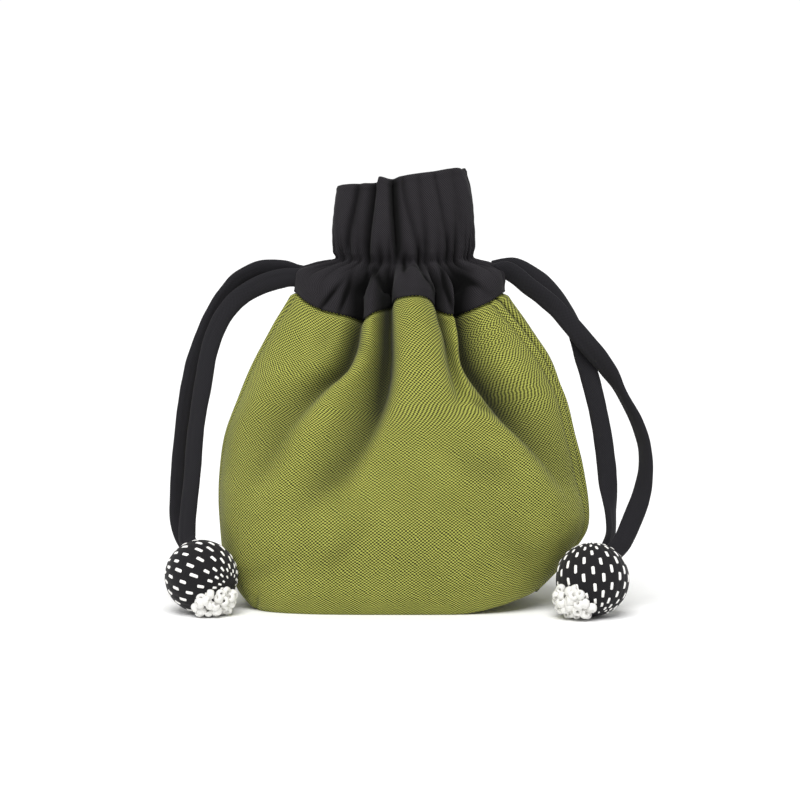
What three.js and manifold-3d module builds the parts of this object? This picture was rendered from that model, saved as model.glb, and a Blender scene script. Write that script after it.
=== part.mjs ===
// A small drawstring pouch that stands on a table, in millimetres, +Z up, front towards -Y.
// Two green cloth panels make the bag and its flat bottom. A black cloth band sewn to their top edge is
// gathered by two drawcords that run in its tunnel, and opens above the gathers in a frill.
// Each drawcord is a flat cloth tube that leaves the tunnel at one side, and both of its ends run down
// to a cloth-covered ball with a cluster of white beads, which rests on the table.
// The origin is the middle of the pouch's bottom.
import * as THREE from "three";
import { mergeVertices } from "three/addons/utils/BufferGeometryUtils.js";
import Module from "manifold-3d";

const wasm = await Module();
wasm.setup();

// Driving sizes of the bag
const bodyWidth = 154.6;
const bodyDepth = 82;
const bodyHeight = 122.3;
const seamSideRise = 9.2;
const cornerLift = 9;
const clothWall = 1.6;
const panelGap = 0.3;
const seamSkewDegrees = 3;

// Driving sizes of the neck
const tunnelHeight = 21.7;
const neckWidth = 59;
const neckDepth = 23;
const gatherSideRise = 1.6;
const frillHeight = 34.3;
const frillTilt = 3.6;
const frillWall = 1.7;
const tunnelWall = 1.1;
const tunnelRoom = 3.6;
const gatherCount = 24;
const gatherDepth = 1.5;
const mouthClearance = 0.6;

// Driving sizes of the cords, balls and beads
const cordWidth = 7.2;
const cordThickness = 3;
const hiddenCordWidth = 6.2;
const hiddenCordThickness = 1.8;
const cordClearance = 0.35;
const ballDiameter = 30;
const ballSeatDiameter = 13;
const beadDiameter = 4.4;
const clusterRadius = 6.2;
const beadCount = 15;
const ballCentreLeft = new THREE.Vector3(-83.5, -26.5, 15.2);
const ballCentreRight = new THREE.Vector3(76.9, -34.5, 15.2);
const ballAxisLeft = new THREE.Vector3(-0.33, 0.64, 0.69).normalize();
const ballAxisRight = new THREE.Vector3(0.5, 0.67, 0.55).normalize();

// How finely the surfaces are cut into facets
const stepsAround = 72;
const ballSides = 16;
const ballRings = 9;

// The cloth is one surface over two coordinates: `turn`, the angle round the pouch (0 at +X, 270 degrees
// at the front), and `run`, the way up the cloth: 0 to 1 up the bag to its top seam, 1 to 2 up the tunnel
// to the gathers, and 2 to 3 up the frill to its edge.

// Sections of the bag. `up` is a share of bodyHeight; left, right, front and back are shares of half the
// body's width and depth; `square` is the section's squareness (2 is an ellipse); `rise` is the share of
// seamSideRise by which the sides stand above the middle.
const bodySections = [
  { up: 0.0, left: 0.79, right: 0.72, front: 0.76, back: 0.76, square: 3.4, rise: 0.0 },
  { up: 0.02, left: 0.85, right: 0.79, front: 0.81, back: 0.81, square: 3.3, rise: 0.0 },
  { up: 0.065, left: 0.905, right: 0.87, front: 0.87, back: 0.87, square: 3.1, rise: 0.0 },
  { up: 0.15, left: 0.953, right: 0.94, front: 0.93, back: 0.93, square: 2.9, rise: 0.0 },
  { up: 0.245, left: 0.99, right: 0.985, front: 0.985, back: 0.98, square: 2.7, rise: 0.0 },
  { up: 0.36, left: 1.0, right: 1.0, front: 1.0, back: 1.0, square: 2.5, rise: 0.0 },
  { up: 0.475, left: 0.99, right: 0.972, front: 0.985, back: 0.985, square: 2.4, rise: 0.06 },
  { up: 0.59, left: 0.955, right: 0.925, front: 0.94, back: 0.94, square: 2.3, rise: 0.15 },
  { up: 0.7, left: 0.885, right: 0.87, front: 0.87, back: 0.87, square: 2.2, rise: 0.3 },
  { up: 0.81, left: 0.795, right: 0.79, front: 0.78, back: 0.78, square: 2.1, rise: 0.5 },
  { up: 0.905, left: 0.7, right: 0.675, front: 0.68, back: 0.67, square: 2.05, rise: 0.76 },
  { up: 1.0, left: 0.598, right: 0.554, front: 0.575, back: 0.56, square: 2.0, rise: 1.0 },
];

// Sections of the tunnel, between the bag's top section and the neck. `up` is a share of tunnelHeight,
// `wide` and `deep` run from 1, as wide as the bag's top section, to 0, as wide as the neck, and `rise`
// runs from 1, the side rise of the seam, to 0, that of the gathers.
const tunnelSections = [
  { up: 0.26, wide: 1.03, deep: 1.0, rise: 1.0 },
  { up: 0.52, wide: 0.9, deep: 0.86, rise: 0.76 },
  { up: 0.77, wide: 0.52, deep: 0.5, rise: 0.4 },
  { up: 1.0, wide: 0.0, deep: 0.0, rise: 0.0 },
];

// Sections of the frill. `up` is a share of frillHeight; left, right, front and back are shares of half
// the neck's width and depth; `tilt` is the share of frillTilt by which the right stands above the left.
const frillSections = [
  { up: 0.1, left: 1.02, right: 1.01, front: 1.04, back: 1.02, tilt: 0.3 },
  { up: 0.4, left: 1.02, right: 1.0, front: 1.02, back: 1.0, tilt: 0.5 },
  { up: 0.72, left: 0.99, right: 0.96, front: 1.0, back: 0.97, tilt: 0.8 },
  { up: 1.0, left: 0.945, right: 0.87, front: 0.98, back: 0.94, tilt: 1.0 },
];

// The main folds. `at` is where a fold lies across the width, -1 at the left side and 1 at the right, and
// `out` is how far it stands out of the cloth as a share of half the body's depth, both at the runs in
// foldRuns. `near` and `far` are its widths to the left and to the right, as shares of half the body's
// width, at the seam, and each fold is `spread` times as wide at the bottom.
const foldRuns = [1.0, 0.85, 0.75, 0.65, 0.525, 0.41];
const frontFolds = [
  // left valley
  { at: [-0.43, -0.42, -0.58, -0.68, -0.75, -0.8], out: [-0.1, -0.11, -0.07, -0.03, 0, 0], near: 0.08, far: 0.04, spread: 2.4 },
  // ridge between the left valley and the deep valley
  { at: [-0.28, -0.29, -0.42, -0.5, -0.56, -0.62], out: [0.06, 0.07, 0.06, 0.05, 0.03, 0.02], near: 0.07, far: 0.07, spread: 2.2 },
  // deep valley on the left of the centre pleat
  { at: [-0.12, -0.1, -0.11, -0.17, -0.27, -0.37], out: [-0.2, -0.2, -0.17, -0.12, -0.07, -0.03], near: 0.08, far: 0.03, spread: 2.6 },
  // centre pleat
  { at: [0.08, 0.09, 0.1, 0.12, 0.14, 0.16], out: [0.15, 0.13, 0.1, 0.07, 0.04, 0.03], near: 0.13, far: 0.15, spread: 2.6 },
  // narrow valley on the right of the centre pleat
  { at: [0.335, 0.327, 0.33, 0.36, 0.4, 0.44], out: [-0.1, -0.09, -0.06, 0, 0, 0], near: 0.04, far: 0.05, spread: 1.6 },
  // small ridge beside it
  { at: [0.47, 0.385, 0.4, 0.44, 0.5, 0.55], out: [0.05, 0.05, 0.03, 0, 0, 0], near: 0.035, far: 0.03, spread: 1.5 },
  // long slanting valley that runs down to the right
  { at: [0.53, 0.445, 0.53, 0.64, 0.79, 0.88], out: [-0.13, -0.13, -0.13, -0.1, -0.06, -0.02], near: 0.05, far: 0.1, spread: 1.7 },
];
const backFolds = [
  // left, middle and right valleys of the back, with the ridges between them
  { at: [-0.5, -0.5, -0.54, -0.6, -0.66, -0.72], out: [-0.12, -0.12, -0.1, -0.07, -0.03, 0], near: 0.07, far: 0.05, spread: 2.2 },
  { at: [-0.26, -0.26, -0.28, -0.3, -0.34, -0.38], out: [0.1, 0.09, 0.07, 0.05, 0.03, 0.02], near: 0.11, far: 0.11, spread: 2.2 },
  { at: [-0.02, -0.03, -0.04, -0.05, -0.07, -0.08], out: [-0.17, -0.16, -0.13, -0.09, -0.04, 0], near: 0.05, far: 0.08, spread: 2.4 },
  { at: [0.26, 0.26, 0.27, 0.29, 0.32, 0.35], out: [0.11, 0.1, 0.08, 0.06, 0.04, 0.02], near: 0.11, far: 0.11, spread: 2.2 },
  { at: [0.55, 0.54, 0.57, 0.62, 0.68, 0.74], out: [-0.12, -0.12, -0.1, -0.06, -0.03, 0], near: 0.05, far: 0.08, spread: 2.2 },
];

// Pleats of the frill: `low` and `top` are where a valley lies at the gathers and at the frill's edge, in
// the same measure as `at`, and `deep` and `wide` are shares of half the neck's depth and width.
const frontPleats = [
  { low: -0.79, top: -0.71, deep: 0.16, wide: 0.07 },
  { low: -0.47, top: -0.44, deep: 0.18, wide: 0.08 },
  { low: -0.1, top: -0.17, deep: 0.3, wide: 0.09 },
  { low: 0.32, top: 0.2, deep: 0.08, wide: 0.07 },
  { low: 0.56, top: 0.5, deep: 0.1, wide: 0.07 },
];
const backPleats = [
  { low: -0.74, top: -0.7, deep: 0.14, wide: 0.08 },
  { low: -0.36, top: -0.33, deep: 0.24, wide: 0.09 },
  { low: 0.02, top: 0.05, deep: 0.2, wide: 0.08 },
  { low: 0.37, top: 0.4, deep: 0.26, wide: 0.09 },
  { low: 0.72, top: 0.68, deep: 0.14, wide: 0.08 },
];

// Routes of the free cords, from the mouth of the tunnel to the ball. They are points chosen by hand.
const cordRoutes = {
  cord_left_front: [
    [-45.2, -2.2, 137.2], [-50.0, -2.2, 137.1], [-59.5, -2.6, 134.3], [-68.6, -3.5, 129.0],
    [-74.8, -4.6, 122.2], [-79.0, -5.7, 113.8], [-81.6, -6.7, 105.1], [-83.4, -7.8, 94.7],
    [-85.2, -8.8, 84.4], [-86.9, -9.9, 72.4], [-88.1, -10.9, 57.5], [-89.3, -12.0, 45.1],
    [-90.2, -13.4, 36.0], [-90.2, -15.8, 29.6], [-88.7, -19.0, 25.9],
  ],
  cord_left_back: [
    [-45.2, 2.2, 138.6], [-50.4, 2.2, 140.2], [-59.8, 2.6, 140.3], [-69.0, 1.9, 136.0],
    [-75.2, 0.9, 129.4], [-80.0, -0.3, 121.4], [-84.2, -1.6, 112.2], [-87.3, -2.8, 103.4],
    [-89.3, -3.9, 94.6], [-91.3, -5.0, 83.0], [-92.9, -6.0, 70.0], [-94.0, -7.0, 57.0],
    [-94.6, -8.1, 45.4], [-94.2, -9.4, 36.4], [-92.2, -11.3, 30.2], [-87.7, -15.8, 23.9],
  ],
  cord_right_front: [
    [42.4, -2.2, 140.2], [46.4, -2.2, 138.2], [52.0, -3.2, 133.6], [57.4, -4.6, 129.6],
    [62.9, -6.1, 124.9], [67.9, -7.6, 119.5], [73.4, -8.9, 113.0], [84.8, -10.6, 99.1],
    [91.4, -11.7, 87.6], [96.4, -12.9, 78.0], [99.6, -14.2, 68.0], [100.2, -15.5, 58.0],
    [98.2, -16.7, 46.8], [94.4, -18.4, 37.2], [90.0, -22.2, 28.6], [85.1, -26.9, 24.1],
  ],
  cord_right_back: [
    [42.0, 2.2, 141.0], [46.4, 2.2, 141.2], [52.2, 1.6, 138.6], [58.4, 0.6, 134.3],
    [64.6, -0.6, 127.6], [69.4, -1.9, 119.9], [72.6, -3.2, 112.4], [75.4, -4.9, 103.0],
    [78.2, -6.9, 93.0], [80.7, -8.8, 82.4], [82.6, -10.5, 71.8], [84.0, -12.2, 61.0],
    [85.0, -13.8, 50.0], [85.8, -15.2, 40.4], [85.8, -16.8, 31.6], [82.9, -22.4, 22.2],
  ],
};

// Values worked out from the driving sizes
const halfWidth = bodyWidth / 2;
const halfDepth = bodyDepth / 2;
const halfNeck = neckWidth / 2;
const halfNeckDepth = neckDepth / 2;
const ballRadius = ballDiameter / 2;
const beadRadius = beadDiameter / 2;
const tunnelDepth = tunnelWall + tunnelRoom / 2;

const degrees = THREE.MathUtils.degToRad;
const mix = THREE.MathUtils.lerp;
const rising = (low, high, value) => THREE.MathUtils.smoothstep(value, low, high);
const falling = (low, high, value) => 1 - rising(low, high, value);

// The height of a run up the middle of the front, and one list of sections in millimetres by that height.
function heightOf(run) {
  if (run <= 1) return run * bodyHeight;
  if (run <= 2) return bodyHeight + (run - 1) * tunnelHeight;
  return bodyHeight + tunnelHeight + (run - 2) * frillHeight;
}
function listSections() {
  const rows = bodySections.map((s) => ({
    up: heightOf(s.up),
    left: s.left * halfWidth,
    right: s.right * halfWidth,
    front: s.front * halfDepth,
    back: s.back * halfDepth,
    square: s.square,
    rise: s.rise * seamSideRise,
    tilt: 0,
  }));
  const seam = rows[rows.length - 1];
  for (const s of tunnelSections) {
    rows.push({
      up: heightOf(1 + s.up),
      left: mix(halfNeck, seam.left, s.wide),
      right: mix(halfNeck, seam.right, s.wide),
      front: mix(halfNeckDepth, seam.front, s.deep),
      back: mix(halfNeckDepth, seam.back, s.deep),
      square: 2,
      rise: mix(gatherSideRise, seamSideRise, s.rise),
      tilt: 0,
    });
  }
  for (const s of frillSections) {
    rows.push({
      up: heightOf(2 + s.up),
      left: s.left * halfNeck,
      right: s.right * halfNeck,
      front: s.front * halfNeckDepth,
      back: s.back * halfNeckDepth,
      square: 2,
      rise: gatherSideRise * (1 - s.up),
      tilt: s.tilt * frillTilt,
    });
  }
  return rows;
}
const sections = listSections();

// A smooth curve through values at rising places: cubic, with each slope taken from the two neighbours.
function through(places, values, place) {
  const last = places.length - 1;
  const at = THREE.MathUtils.clamp(place, places[0], places[last]);
  let i = 0;
  while (i < last - 1 && at > places[i + 1]) i += 1;
  const slope = (k) => {
    const a = Math.max(k - 1, 0);
    const b = Math.min(k + 1, last);
    return (values[b] - values[a]) / (places[b] - places[a]);
  };
  const span = places[i + 1] - places[i];
  const t = (at - places[i]) / span;
  const t2 = t * t;
  const t3 = t2 * t;
  return (
    (2 * t3 - 3 * t2 + 1) * values[i] +
    (t3 - 2 * t2 + t) * span * slope(i) +
    (3 * t2 - 2 * t3) * values[i + 1] +
    (t3 - t2) * span * slope(i + 1)
  );
}
const sectionHeights = sections.map((s) => s.up);
const fallingRuns = foldRuns.map((run) => -run);
function sectionAt(up) {
  const values = { up };
  for (const key of ["left", "right", "front", "back", "square", "rise", "tilt"]) {
    values[key] = through(sectionHeights, sections.map((s) => s[key]), up);
  }
  return values;
}

// Where a turn lies on a section: x and y as shares of its half width and half depth.
function onSection(square, turn) {
  const c = Math.cos(turn);
  const s = Math.sin(turn);
  const reach = (Math.abs(c) ** square + Math.abs(s) ** square) ** (-1 / square);
  return { across: reach * c, along: reach * s };
}

// The cloth without its folds, by its height up the middle of the front.
function plainAt(up, turn) {
  const section = sectionAt(up);
  const { across, along } = onSection(section.square, turn);
  return new THREE.Vector3(
    across * (across > 0 ? section.right : section.left),
    along * (along > 0 ? section.back : section.front),
    section.up + section.rise * across * across + section.tilt * across,
  );
}
const plainPoint = (run, turn) => plainAt(heightOf(run), turn);

// The outward normal of the plain cloth, from its slopes over a few millimetres.
function plainNormal(run, turn) {
  const reach = 3;
  const up = heightOf(run);
  const top = sectionHeights[sectionHeights.length - 1];
  const upward = plainAt(Math.min(up + reach, top), turn).sub(plainAt(Math.max(up - reach, 0), turn));
  const around = plainAt(up, turn + 0.01).sub(plainAt(up, turn - 0.01));
  return around.cross(upward).normalize();
}

// A bump of height 1 that is `near` wide on one side and `far` wide on the other.
function bump(distance, near, far) {
  const width = distance < 0 ? near : far;
  return Math.exp(-((distance / width) ** 2));
}

// How far the main folds move the cloth out of its plain surface. They fade out towards the side seams.
function mainFolds(run, across, along) {
  const rows = along < 0 ? frontFolds : backFolds;
  const level = -Math.min(run, 1);
  const fade = rising(0.05, 0.35, Math.abs(along)) * falling(1.6, 2.05, run) * rising(0.3, 0.45, run);
  if (fade === 0) return 0;
  const widening = (spread) => mix(spread, 1, rising(foldRuns[foldRuns.length - 1], 1, run));
  let sum = 0;
  for (const fold of rows) {
    const distance = across - through(fallingRuns, fold.at, level);
    const wider = widening(fold.spread);
    const out = through(fallingRuns, fold.out, level);
    sum += out * bump(distance, fold.near * wider, fold.far * wider);
  }
  return sum * fade * halfDepth;
}

// The fine gathers of the tunnel: outward ridges, deepest at the gathers and gone at the seam.
function gathers(run, turn) {
  const strength = rising(1.05, 1.95, run) * falling(2, 2.5, run);
  return gatherDepth * strength * 0.5 * (1 + Math.cos(gatherCount * turn));
}

// The pleats of the frill: valleys between rounded folds.
function pleats(run, across, along) {
  const rows = along < 0 ? frontPleats : backPleats;
  const strength = rising(1.9, 2.25, run) * rising(0.05, 0.4, Math.abs(along));
  let sum = 0;
  for (const pleat of rows) {
    const at = mix(pleat.low, pleat.top, rising(2, 3, run));
    sum -= pleat.deep * bump(across - at, pleat.wide, pleat.wide);
  }
  return sum * strength * halfNeckDepth;
}

// A point of the real cloth, `lift` millimetres outside its outer face (negative is inside it).
// What is hidden in the tunnel follows the main folds only, not the fine gathers outside it.
function clothPoint(run, turn, lift = 0, hidden = false) {
  const { across, along } = onSection(sectionAt(heightOf(run)).square, turn);
  const fine = hidden ? 0 : gathers(run, turn) + pleats(run, across, along);
  const out = lift + mainFolds(run, across, along) + fine;
  return plainPoint(run, turn).addScaledVector(plainNormal(run, turn), out);
}

// Closed surface from rings of points. Rings joined end to end make a tube; `poles` closes both ends with
// a point, and `endless` joins the last ring to the first.
function ringSolid(rings, { poles = null, endless = false, flip = false } = {}) {
  const count = rings[0].length;
  const points = rings.flat();
  const faces = [];
  const ringTotal = rings.length;
  const last = endless ? ringTotal : ringTotal - 1;
  for (let i = 0; i < last; i += 1) {
    const a = i * count;
    const b = ((i + 1) % ringTotal) * count;
    for (let j = 0; j < count; j += 1) {
      const k = (j + 1) % count;
      faces.push([a + j, a + k, b + k], [a + j, b + k, b + j]);
    }
  }
  if (poles) {
    const first = points.push(poles[0]) - 1;
    const end = points.push(poles[1]) - 1;
    const top = (ringTotal - 1) * count;
    for (let j = 0; j < count; j += 1) {
      const k = (j + 1) % count;
      faces.push([first, k, j], [end, top + j, top + k]);
    }
  }
  const vertProperties = new Float32Array(points.flatMap((p) => [p.x, p.y, p.z]));
  const order = flip ? [0, 2, 1] : [0, 1, 2];
  const triVerts = new Uint32Array(faces.flatMap((f) => order.map((i) => f[i])));
  return new wasm.Manifold(new wasm.Mesh({ numProp: 3, vertProperties, triVerts }));
}

// A three.js geometry as a solid that can be cut and joined.
function solidOf(geometry) {
  const bare = geometry.clone();
  bare.deleteAttribute("normal");
  bare.deleteAttribute("uv");
  const merged = mergeVertices(bare, 1e-4);
  return new wasm.Manifold(
    new wasm.Mesh({
      numProp: 3,
      vertProperties: merged.attributes.position.array,
      triVerts: new Uint32Array(merged.index.array),
    }),
  );
}

// A solid back as three.js geometry.
function geometryOf(solid) {
  const mesh = solid.getMesh();
  const geometry = new THREE.BufferGeometry();
  const position = new Float32Array(mesh.numVert * 3);
  for (let i = 0; i < mesh.numVert; i += 1) {
    position.set(mesh.vertProperties.subarray(i * mesh.numProp, i * mesh.numProp + 3), i * 3);
  }
  geometry.setAttribute("position", new THREE.BufferAttribute(position, 3));
  geometry.setIndex(new THREE.BufferAttribute(mesh.triVerts, 1));
  geometry.computeVertexNormals();
  return geometry;
}

const turnsOf = (count) => Array.from({ length: count }, (_, i) => (i / count) * 2 * Math.PI);

// Bag

// The bottom lies flat, and its right end lifts off the table in a soft curve.
function bottomLift(x) {
  return cornerLift * rising(0.42 * halfWidth, 0.86 * halfWidth, x) ** 1.4;
}

// The rings of one face of the bag, from the middle of the bottom up to the top seam.
function bagRings(inset, bottomShares, runs) {
  const turns = turnsOf(stepsAround);
  const lifted = (point) => {
    const near = falling(0, 0.36 * bodyHeight, point.z);
    return new THREE.Vector3(point.x, point.y, point.z + near * bottomLift(point.x));
  };
  const rings = [];
  for (const share of bottomShares) {
    rings.push(
      turns.map((turn) => {
        const edge = plainPoint(0, turn);
        const inward = 1 - inset / Math.hypot(edge.x, edge.y);
        return lifted(new THREE.Vector3(edge.x * share * inward, edge.y * share * inward, inset));
      }),
    );
  }
  for (const run of runs) {
    rings.push(
      turns.map((turn) => {
        const point = clothPoint(run, turn, -inset);
        point.z = Math.max(point.z, inset);
        return lifted(point);
      }),
    );
  }
  return rings;
}

const outerBagRuns = [0, 0.03, 0.1, 0.21, 0.36, 0.49, 0.6, 0.7, 0.8, 0.9, 1.0];
const innerBagRuns = [0, 0.06, 0.21, 0.42, 0.6, 0.8, 1.0];

function bagSolid() {
  const outer = bagRings(0, [0.45, 0.8], outerBagRuns);
  const inner = bagRings(clothWall, [0.7], innerBagRuns);
  const rings = [...outer, ...inner.reverse()];
  const middle = (inset) => new THREE.Vector3(0, 0, inset);
  return ringSolid(rings, { poles: [middle(0), middle(clothWall)] });
}

// The bag is cut along its side seams and the seam under its bottom into a front and a back panel.
function panel(bag, side) {
  const skew = degrees(seamSkewDegrees);
  const normal = [-side * Math.sin(skew), -side * Math.cos(skew), 0];
  return bag.trimByPlane(normal, panelGap / 2);
}

// Neck band

const seamGap = 0.5;
const seamRun = 1 + seamGap / tunnelHeight;

// The band's section, up its outside and back down its inside, and the section of the tunnel in it.
const bandInside = 2 * tunnelWall + tunnelRoom;
const bandSection = [
  { run: seamRun, depth: 0 },
  { run: 1.2, depth: 0 },
  { run: 1.42, depth: 0 },
  { run: 1.64, depth: 0 },
  { run: 1.84, depth: 0 },
  { run: 2.04, depth: 0 },
  { run: 2.3, depth: 0 },
  { run: 2.65, depth: 0 },
  { run: 3, depth: 0 },
  { run: 3, depth: frillWall },
  { run: 2.5, depth: frillWall },
  { run: 2.05, depth: frillWall },
  { run: 1.9, depth: bandInside, hidden: true },
  { run: 1.5, depth: bandInside, hidden: true },
  { run: 1.12, depth: bandInside, hidden: true },
  { run: seamRun, depth: clothWall },
];
const tunnelSection = [
  { run: 1.14, depth: tunnelWall, hidden: true },
  { run: 1.32, depth: tunnelWall, hidden: true },
  { run: 1.5, depth: tunnelWall, hidden: true },
  { run: 1.68, depth: tunnelWall, hidden: true },
  { run: 1.86, depth: tunnelWall, hidden: true },
  { run: 1.86, depth: tunnelWall + tunnelRoom, hidden: true },
  { run: 1.5, depth: tunnelWall + tunnelRoom, hidden: true },
  { run: 1.14, depth: tunnelWall + tunnelRoom, hidden: true },
];
function bandOf(section) {
  const turns = turnsOf(stepsAround);
  const rings = section.map((s) => turns.map((turn) => clothPoint(s.run, turn, -s.depth, s.hidden)));
  return ringSolid(rings, { endless: true });
}

// Lanes of the two drawcords in the tunnel, and how much of the run half a cord takes up at a turn.
const lanes = { left: 1.34, right: 1.665 };
function halfLane(run, turn, halfSize) {
  const step = 0.02;
  const length = plainPoint(run + step, turn).distanceTo(plainPoint(run - step, turn)) / (2 * step);
  return halfSize / length;
}

// The angle that a length along the wall takes up at one side of the tunnel.
function turnFor(run, turn, length) {
  const step = 0.01;
  const chord = plainPoint(run, turn + step).distanceTo(plainPoint(run, turn - step));
  return (length * 2 * step) / chord;
}

// The mouth of the tunnel at each side: a slit through its outer wall, as wide as the two cord ends that
// leave it side by side.
const mouthHalfDepth = cordThickness + 2 * cordClearance + mouthClearance;
const mouthHalfHeight = cordWidth / 2 + mouthClearance;
const mouthLength = 16;
const mouthTurns = { left: Math.PI, right: 0 };
function mouthCut(side) {
  const turn = mouthTurns[side];
  const outward = Math.cos(turn);
  const wall = clothPoint(lanes.left, turn, -0.85 * tunnelDepth, true);
  const height = clothPoint(lanes[side], turn, -tunnelDepth, true).z;
  const block = new THREE.BoxGeometry(mouthLength, 2 * mouthHalfDepth, 2 * mouthHalfHeight);
  return solidOf(block).translate(wall.x + (outward * mouthLength) / 2, 0, height);
}

function neckBand() {
  return bandOf(bandSection)
    .subtract(bandOf(tunnelSection))
    .subtract(mouthCut("left"))
    .subtract(mouthCut("right"));
}

// The stitching along the gathers parts the band into the tunnel below it and the frill above it.
const gatherSeamGap = 0.4;
function bandPart(band, side) {
  const height = bodyHeight + tunnelHeight + gatherSideRise / 2;
  return band.trimByPlane([0, 0, side], side * height + gatherSeamGap / 2);
}

// The hidden stretch of a drawcord: a flat band that starts beside its mouth, goes once round with the
// folds of the tunnel and ends beside its mouth again.
function hiddenCord(side) {
  const lane = lanes[side];
  const mouth = mouthTurns[side];
  const start = turnFor(lane, mouth, cordThickness + 3 * cordClearance);
  const step = (2 * Math.PI) / stepsAround;
  const between = turnsOf(stepsAround)
    .map((turn) => mouth + turn)
    .filter((turn) => turn > mouth + start + step / 2 && turn < mouth + 2 * Math.PI - start - step / 2);
  const turns = [mouth + start, ...between, mouth + 2 * Math.PI - start];
  const rings = turns.map((turn) => {
    const half = halfLane(lane, turn, hiddenCordWidth / 2);
    const near = -tunnelDepth + hiddenCordThickness / 2;
    const far = -tunnelDepth - hiddenCordThickness / 2;
    return [
      clothPoint(lane + half, turn, near, true),
      clothPoint(lane + half, turn, far, true),
      clothPoint(lane - half, turn, far, true),
      clothPoint(lane - half, turn, near, true),
    ];
  });
  const middle = (turn) => clothPoint(lane, turn, -tunnelDepth, true);
  return ringSolid(rings, { poles: [middle(turns[0]), middle(turns[turns.length - 1])], flip: true });
}

// Free cords: a flat oval drawn along its route, its wide side facing the front.
function freeCord(name) {
  const points = cordRoutes[name].map((p) => new THREE.Vector3(...p));
  const oval = new THREE.Shape();
  oval.absellipse(0, 0, cordThickness / 2, cordWidth / 2, 0, 2 * Math.PI);
  const path = new THREE.CatmullRomCurve3(points, false, "centripetal");
  return new THREE.ExtrudeGeometry(oval, { steps: 22, curveSegments: 4, bevelEnabled: false, extrudePath: path });
}

// Balls: a sphere with a small flat seat at its back, where the two cord ends are sewn on.
function ballSolid() {
  const seat = ballSeatDiameter / 2;
  const top = Math.asin(seat / ballRadius);
  const profile = [new THREE.Vector2(0, -ballRadius)];
  for (let i = 1; i <= ballRings; i += 1) {
    const angle = mix(Math.PI, top, i / ballRings);
    profile.push(new THREE.Vector2(ballRadius * Math.sin(angle), ballRadius * Math.cos(angle)));
  }
  profile.push(new THREE.Vector2(0, ballRadius * Math.cos(top)));
  return solidOf(new THREE.LatheGeometry(profile, ballSides));
}

function placed(solid, axis, centre) {
  const turn = new THREE.Quaternion().setFromUnitVectors(new THREE.Vector3(0, 1, 0), axis);
  const matrix = new THREE.Matrix4().compose(centre, turn, new THREE.Vector3(1, 1, 1));
  return solid.transform(Array.from(matrix.elements));
}

// Beads: a spiral of small round beads over the ball's front pole, fused to a core and held off the ball.
function beadCluster(axis, centre) {
  const pole = centre.clone().addScaledVector(axis, -(ballRadius + 0.2 * beadDiameter));
  const at = (geometry, place) => solidOf(geometry).translate(place.x, place.y, place.z);
  const across = new THREE.Vector3(0, 0, 1).cross(axis).normalize();
  const upward = axis.clone().cross(across);
  const goldenTurn = Math.PI * (3 - Math.sqrt(5));
  const coreRadius = 0.82 * clusterRadius;
  let cluster = at(new THREE.SphereGeometry(coreRadius, 9, 6), lowestFree(pole, coreRadius));
  for (let i = 0; i < beadCount; i += 1) {
    const lean = Math.acos(1 - (1.05 * (i + 0.5)) / beadCount);
    const angle = i * goldenTurn;
    const place = pole
      .clone()
      .addScaledVector(axis, -0.75 * clusterRadius * Math.cos(lean))
      .addScaledVector(across, 1.1 * clusterRadius * Math.sin(lean) * Math.cos(angle))
      .addScaledVector(upward, 0.9 * clusterRadius * Math.sin(lean) * Math.sin(angle));
    cluster = cluster.add(at(new THREE.IcosahedronGeometry(beadRadius, 0), lowestFree(place, beadRadius)));
  }
  const ball = at(new THREE.SphereGeometry(ballRadius + panelGap, 20, 14), centre);
  const pieces = cluster.subtract(ball).decompose();
  return pieces.reduce((a, b) => (a.volume() > b.volume() ? a : b));
}

// A round thing is raised until it clears the table.
function lowestFree(at, radius) {
  return new THREE.Vector3(at.x, at.y, Math.max(at.z, radius + 0.1));
}

// Materials
const greenCloth = new THREE.MeshStandardMaterial({ color: 0x8f9440, roughness: 0.9, metalness: 0 });
const blackCloth = new THREE.MeshStandardMaterial({ color: 0x1d1b1e, roughness: 0.85, metalness: 0 });
const stitchedCloth = new THREE.MeshStandardMaterial({ color: 0x17161a, roughness: 0.9, metalness: 0 });
const whiteGlass = new THREE.MeshStandardMaterial({ color: 0xf4f2ee, roughness: 0.2, metalness: 0 });

const pouch = new THREE.Group();
function addPiece(name, geometry, material) {
  const mesh = new THREE.Mesh(geometry, material);
  mesh.name = name;
  pouch.add(mesh);
}

const bag = bagSolid();
addPiece("front_panel", geometryOf(panel(bag, 1)), greenCloth);
addPiece("back_panel", geometryOf(panel(bag, -1)), greenCloth);
const band = neckBand();
addPiece("neck_band", geometryOf(bandPart(band, -1)), blackCloth);
addPiece("neck_frill", geometryOf(bandPart(band, 1)), blackCloth);
addPiece("drawcord_left_in_tunnel", geometryOf(hiddenCord("left")), blackCloth);
addPiece("drawcord_right_in_tunnel", geometryOf(hiddenCord("right")), blackCloth);
for (const name of Object.keys(cordRoutes)) {
  addPiece(name, freeCord(name), blackCloth);
}
addPiece("ball_left", geometryOf(placed(ballSolid(), ballAxisLeft, ballCentreLeft)), stitchedCloth);
addPiece("ball_right", geometryOf(placed(ballSolid(), ballAxisRight, ballCentreRight)), stitchedCloth);
addPiece("bead_cluster_left", geometryOf(beadCluster(ballAxisLeft, ballCentreLeft)), whiteGlass);
addPiece("bead_cluster_right", geometryOf(beadCluster(ballAxisRight, ballCentreRight)), whiteGlass);

export default pouch;
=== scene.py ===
"""A small standing drawstring pouch: olive green cloth, a black gathered neck and two black drawcords.

Each sub-assembly is a class that works its surfaces out with numpy and dresses them. The cloth is one
surface over two coordinates, the height up the cloth and the turn round the pouch. Lengths are in metres.
"""

from __future__ import annotations

import logging
from dataclasses import dataclass, field, fields
from enum import Enum

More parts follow.
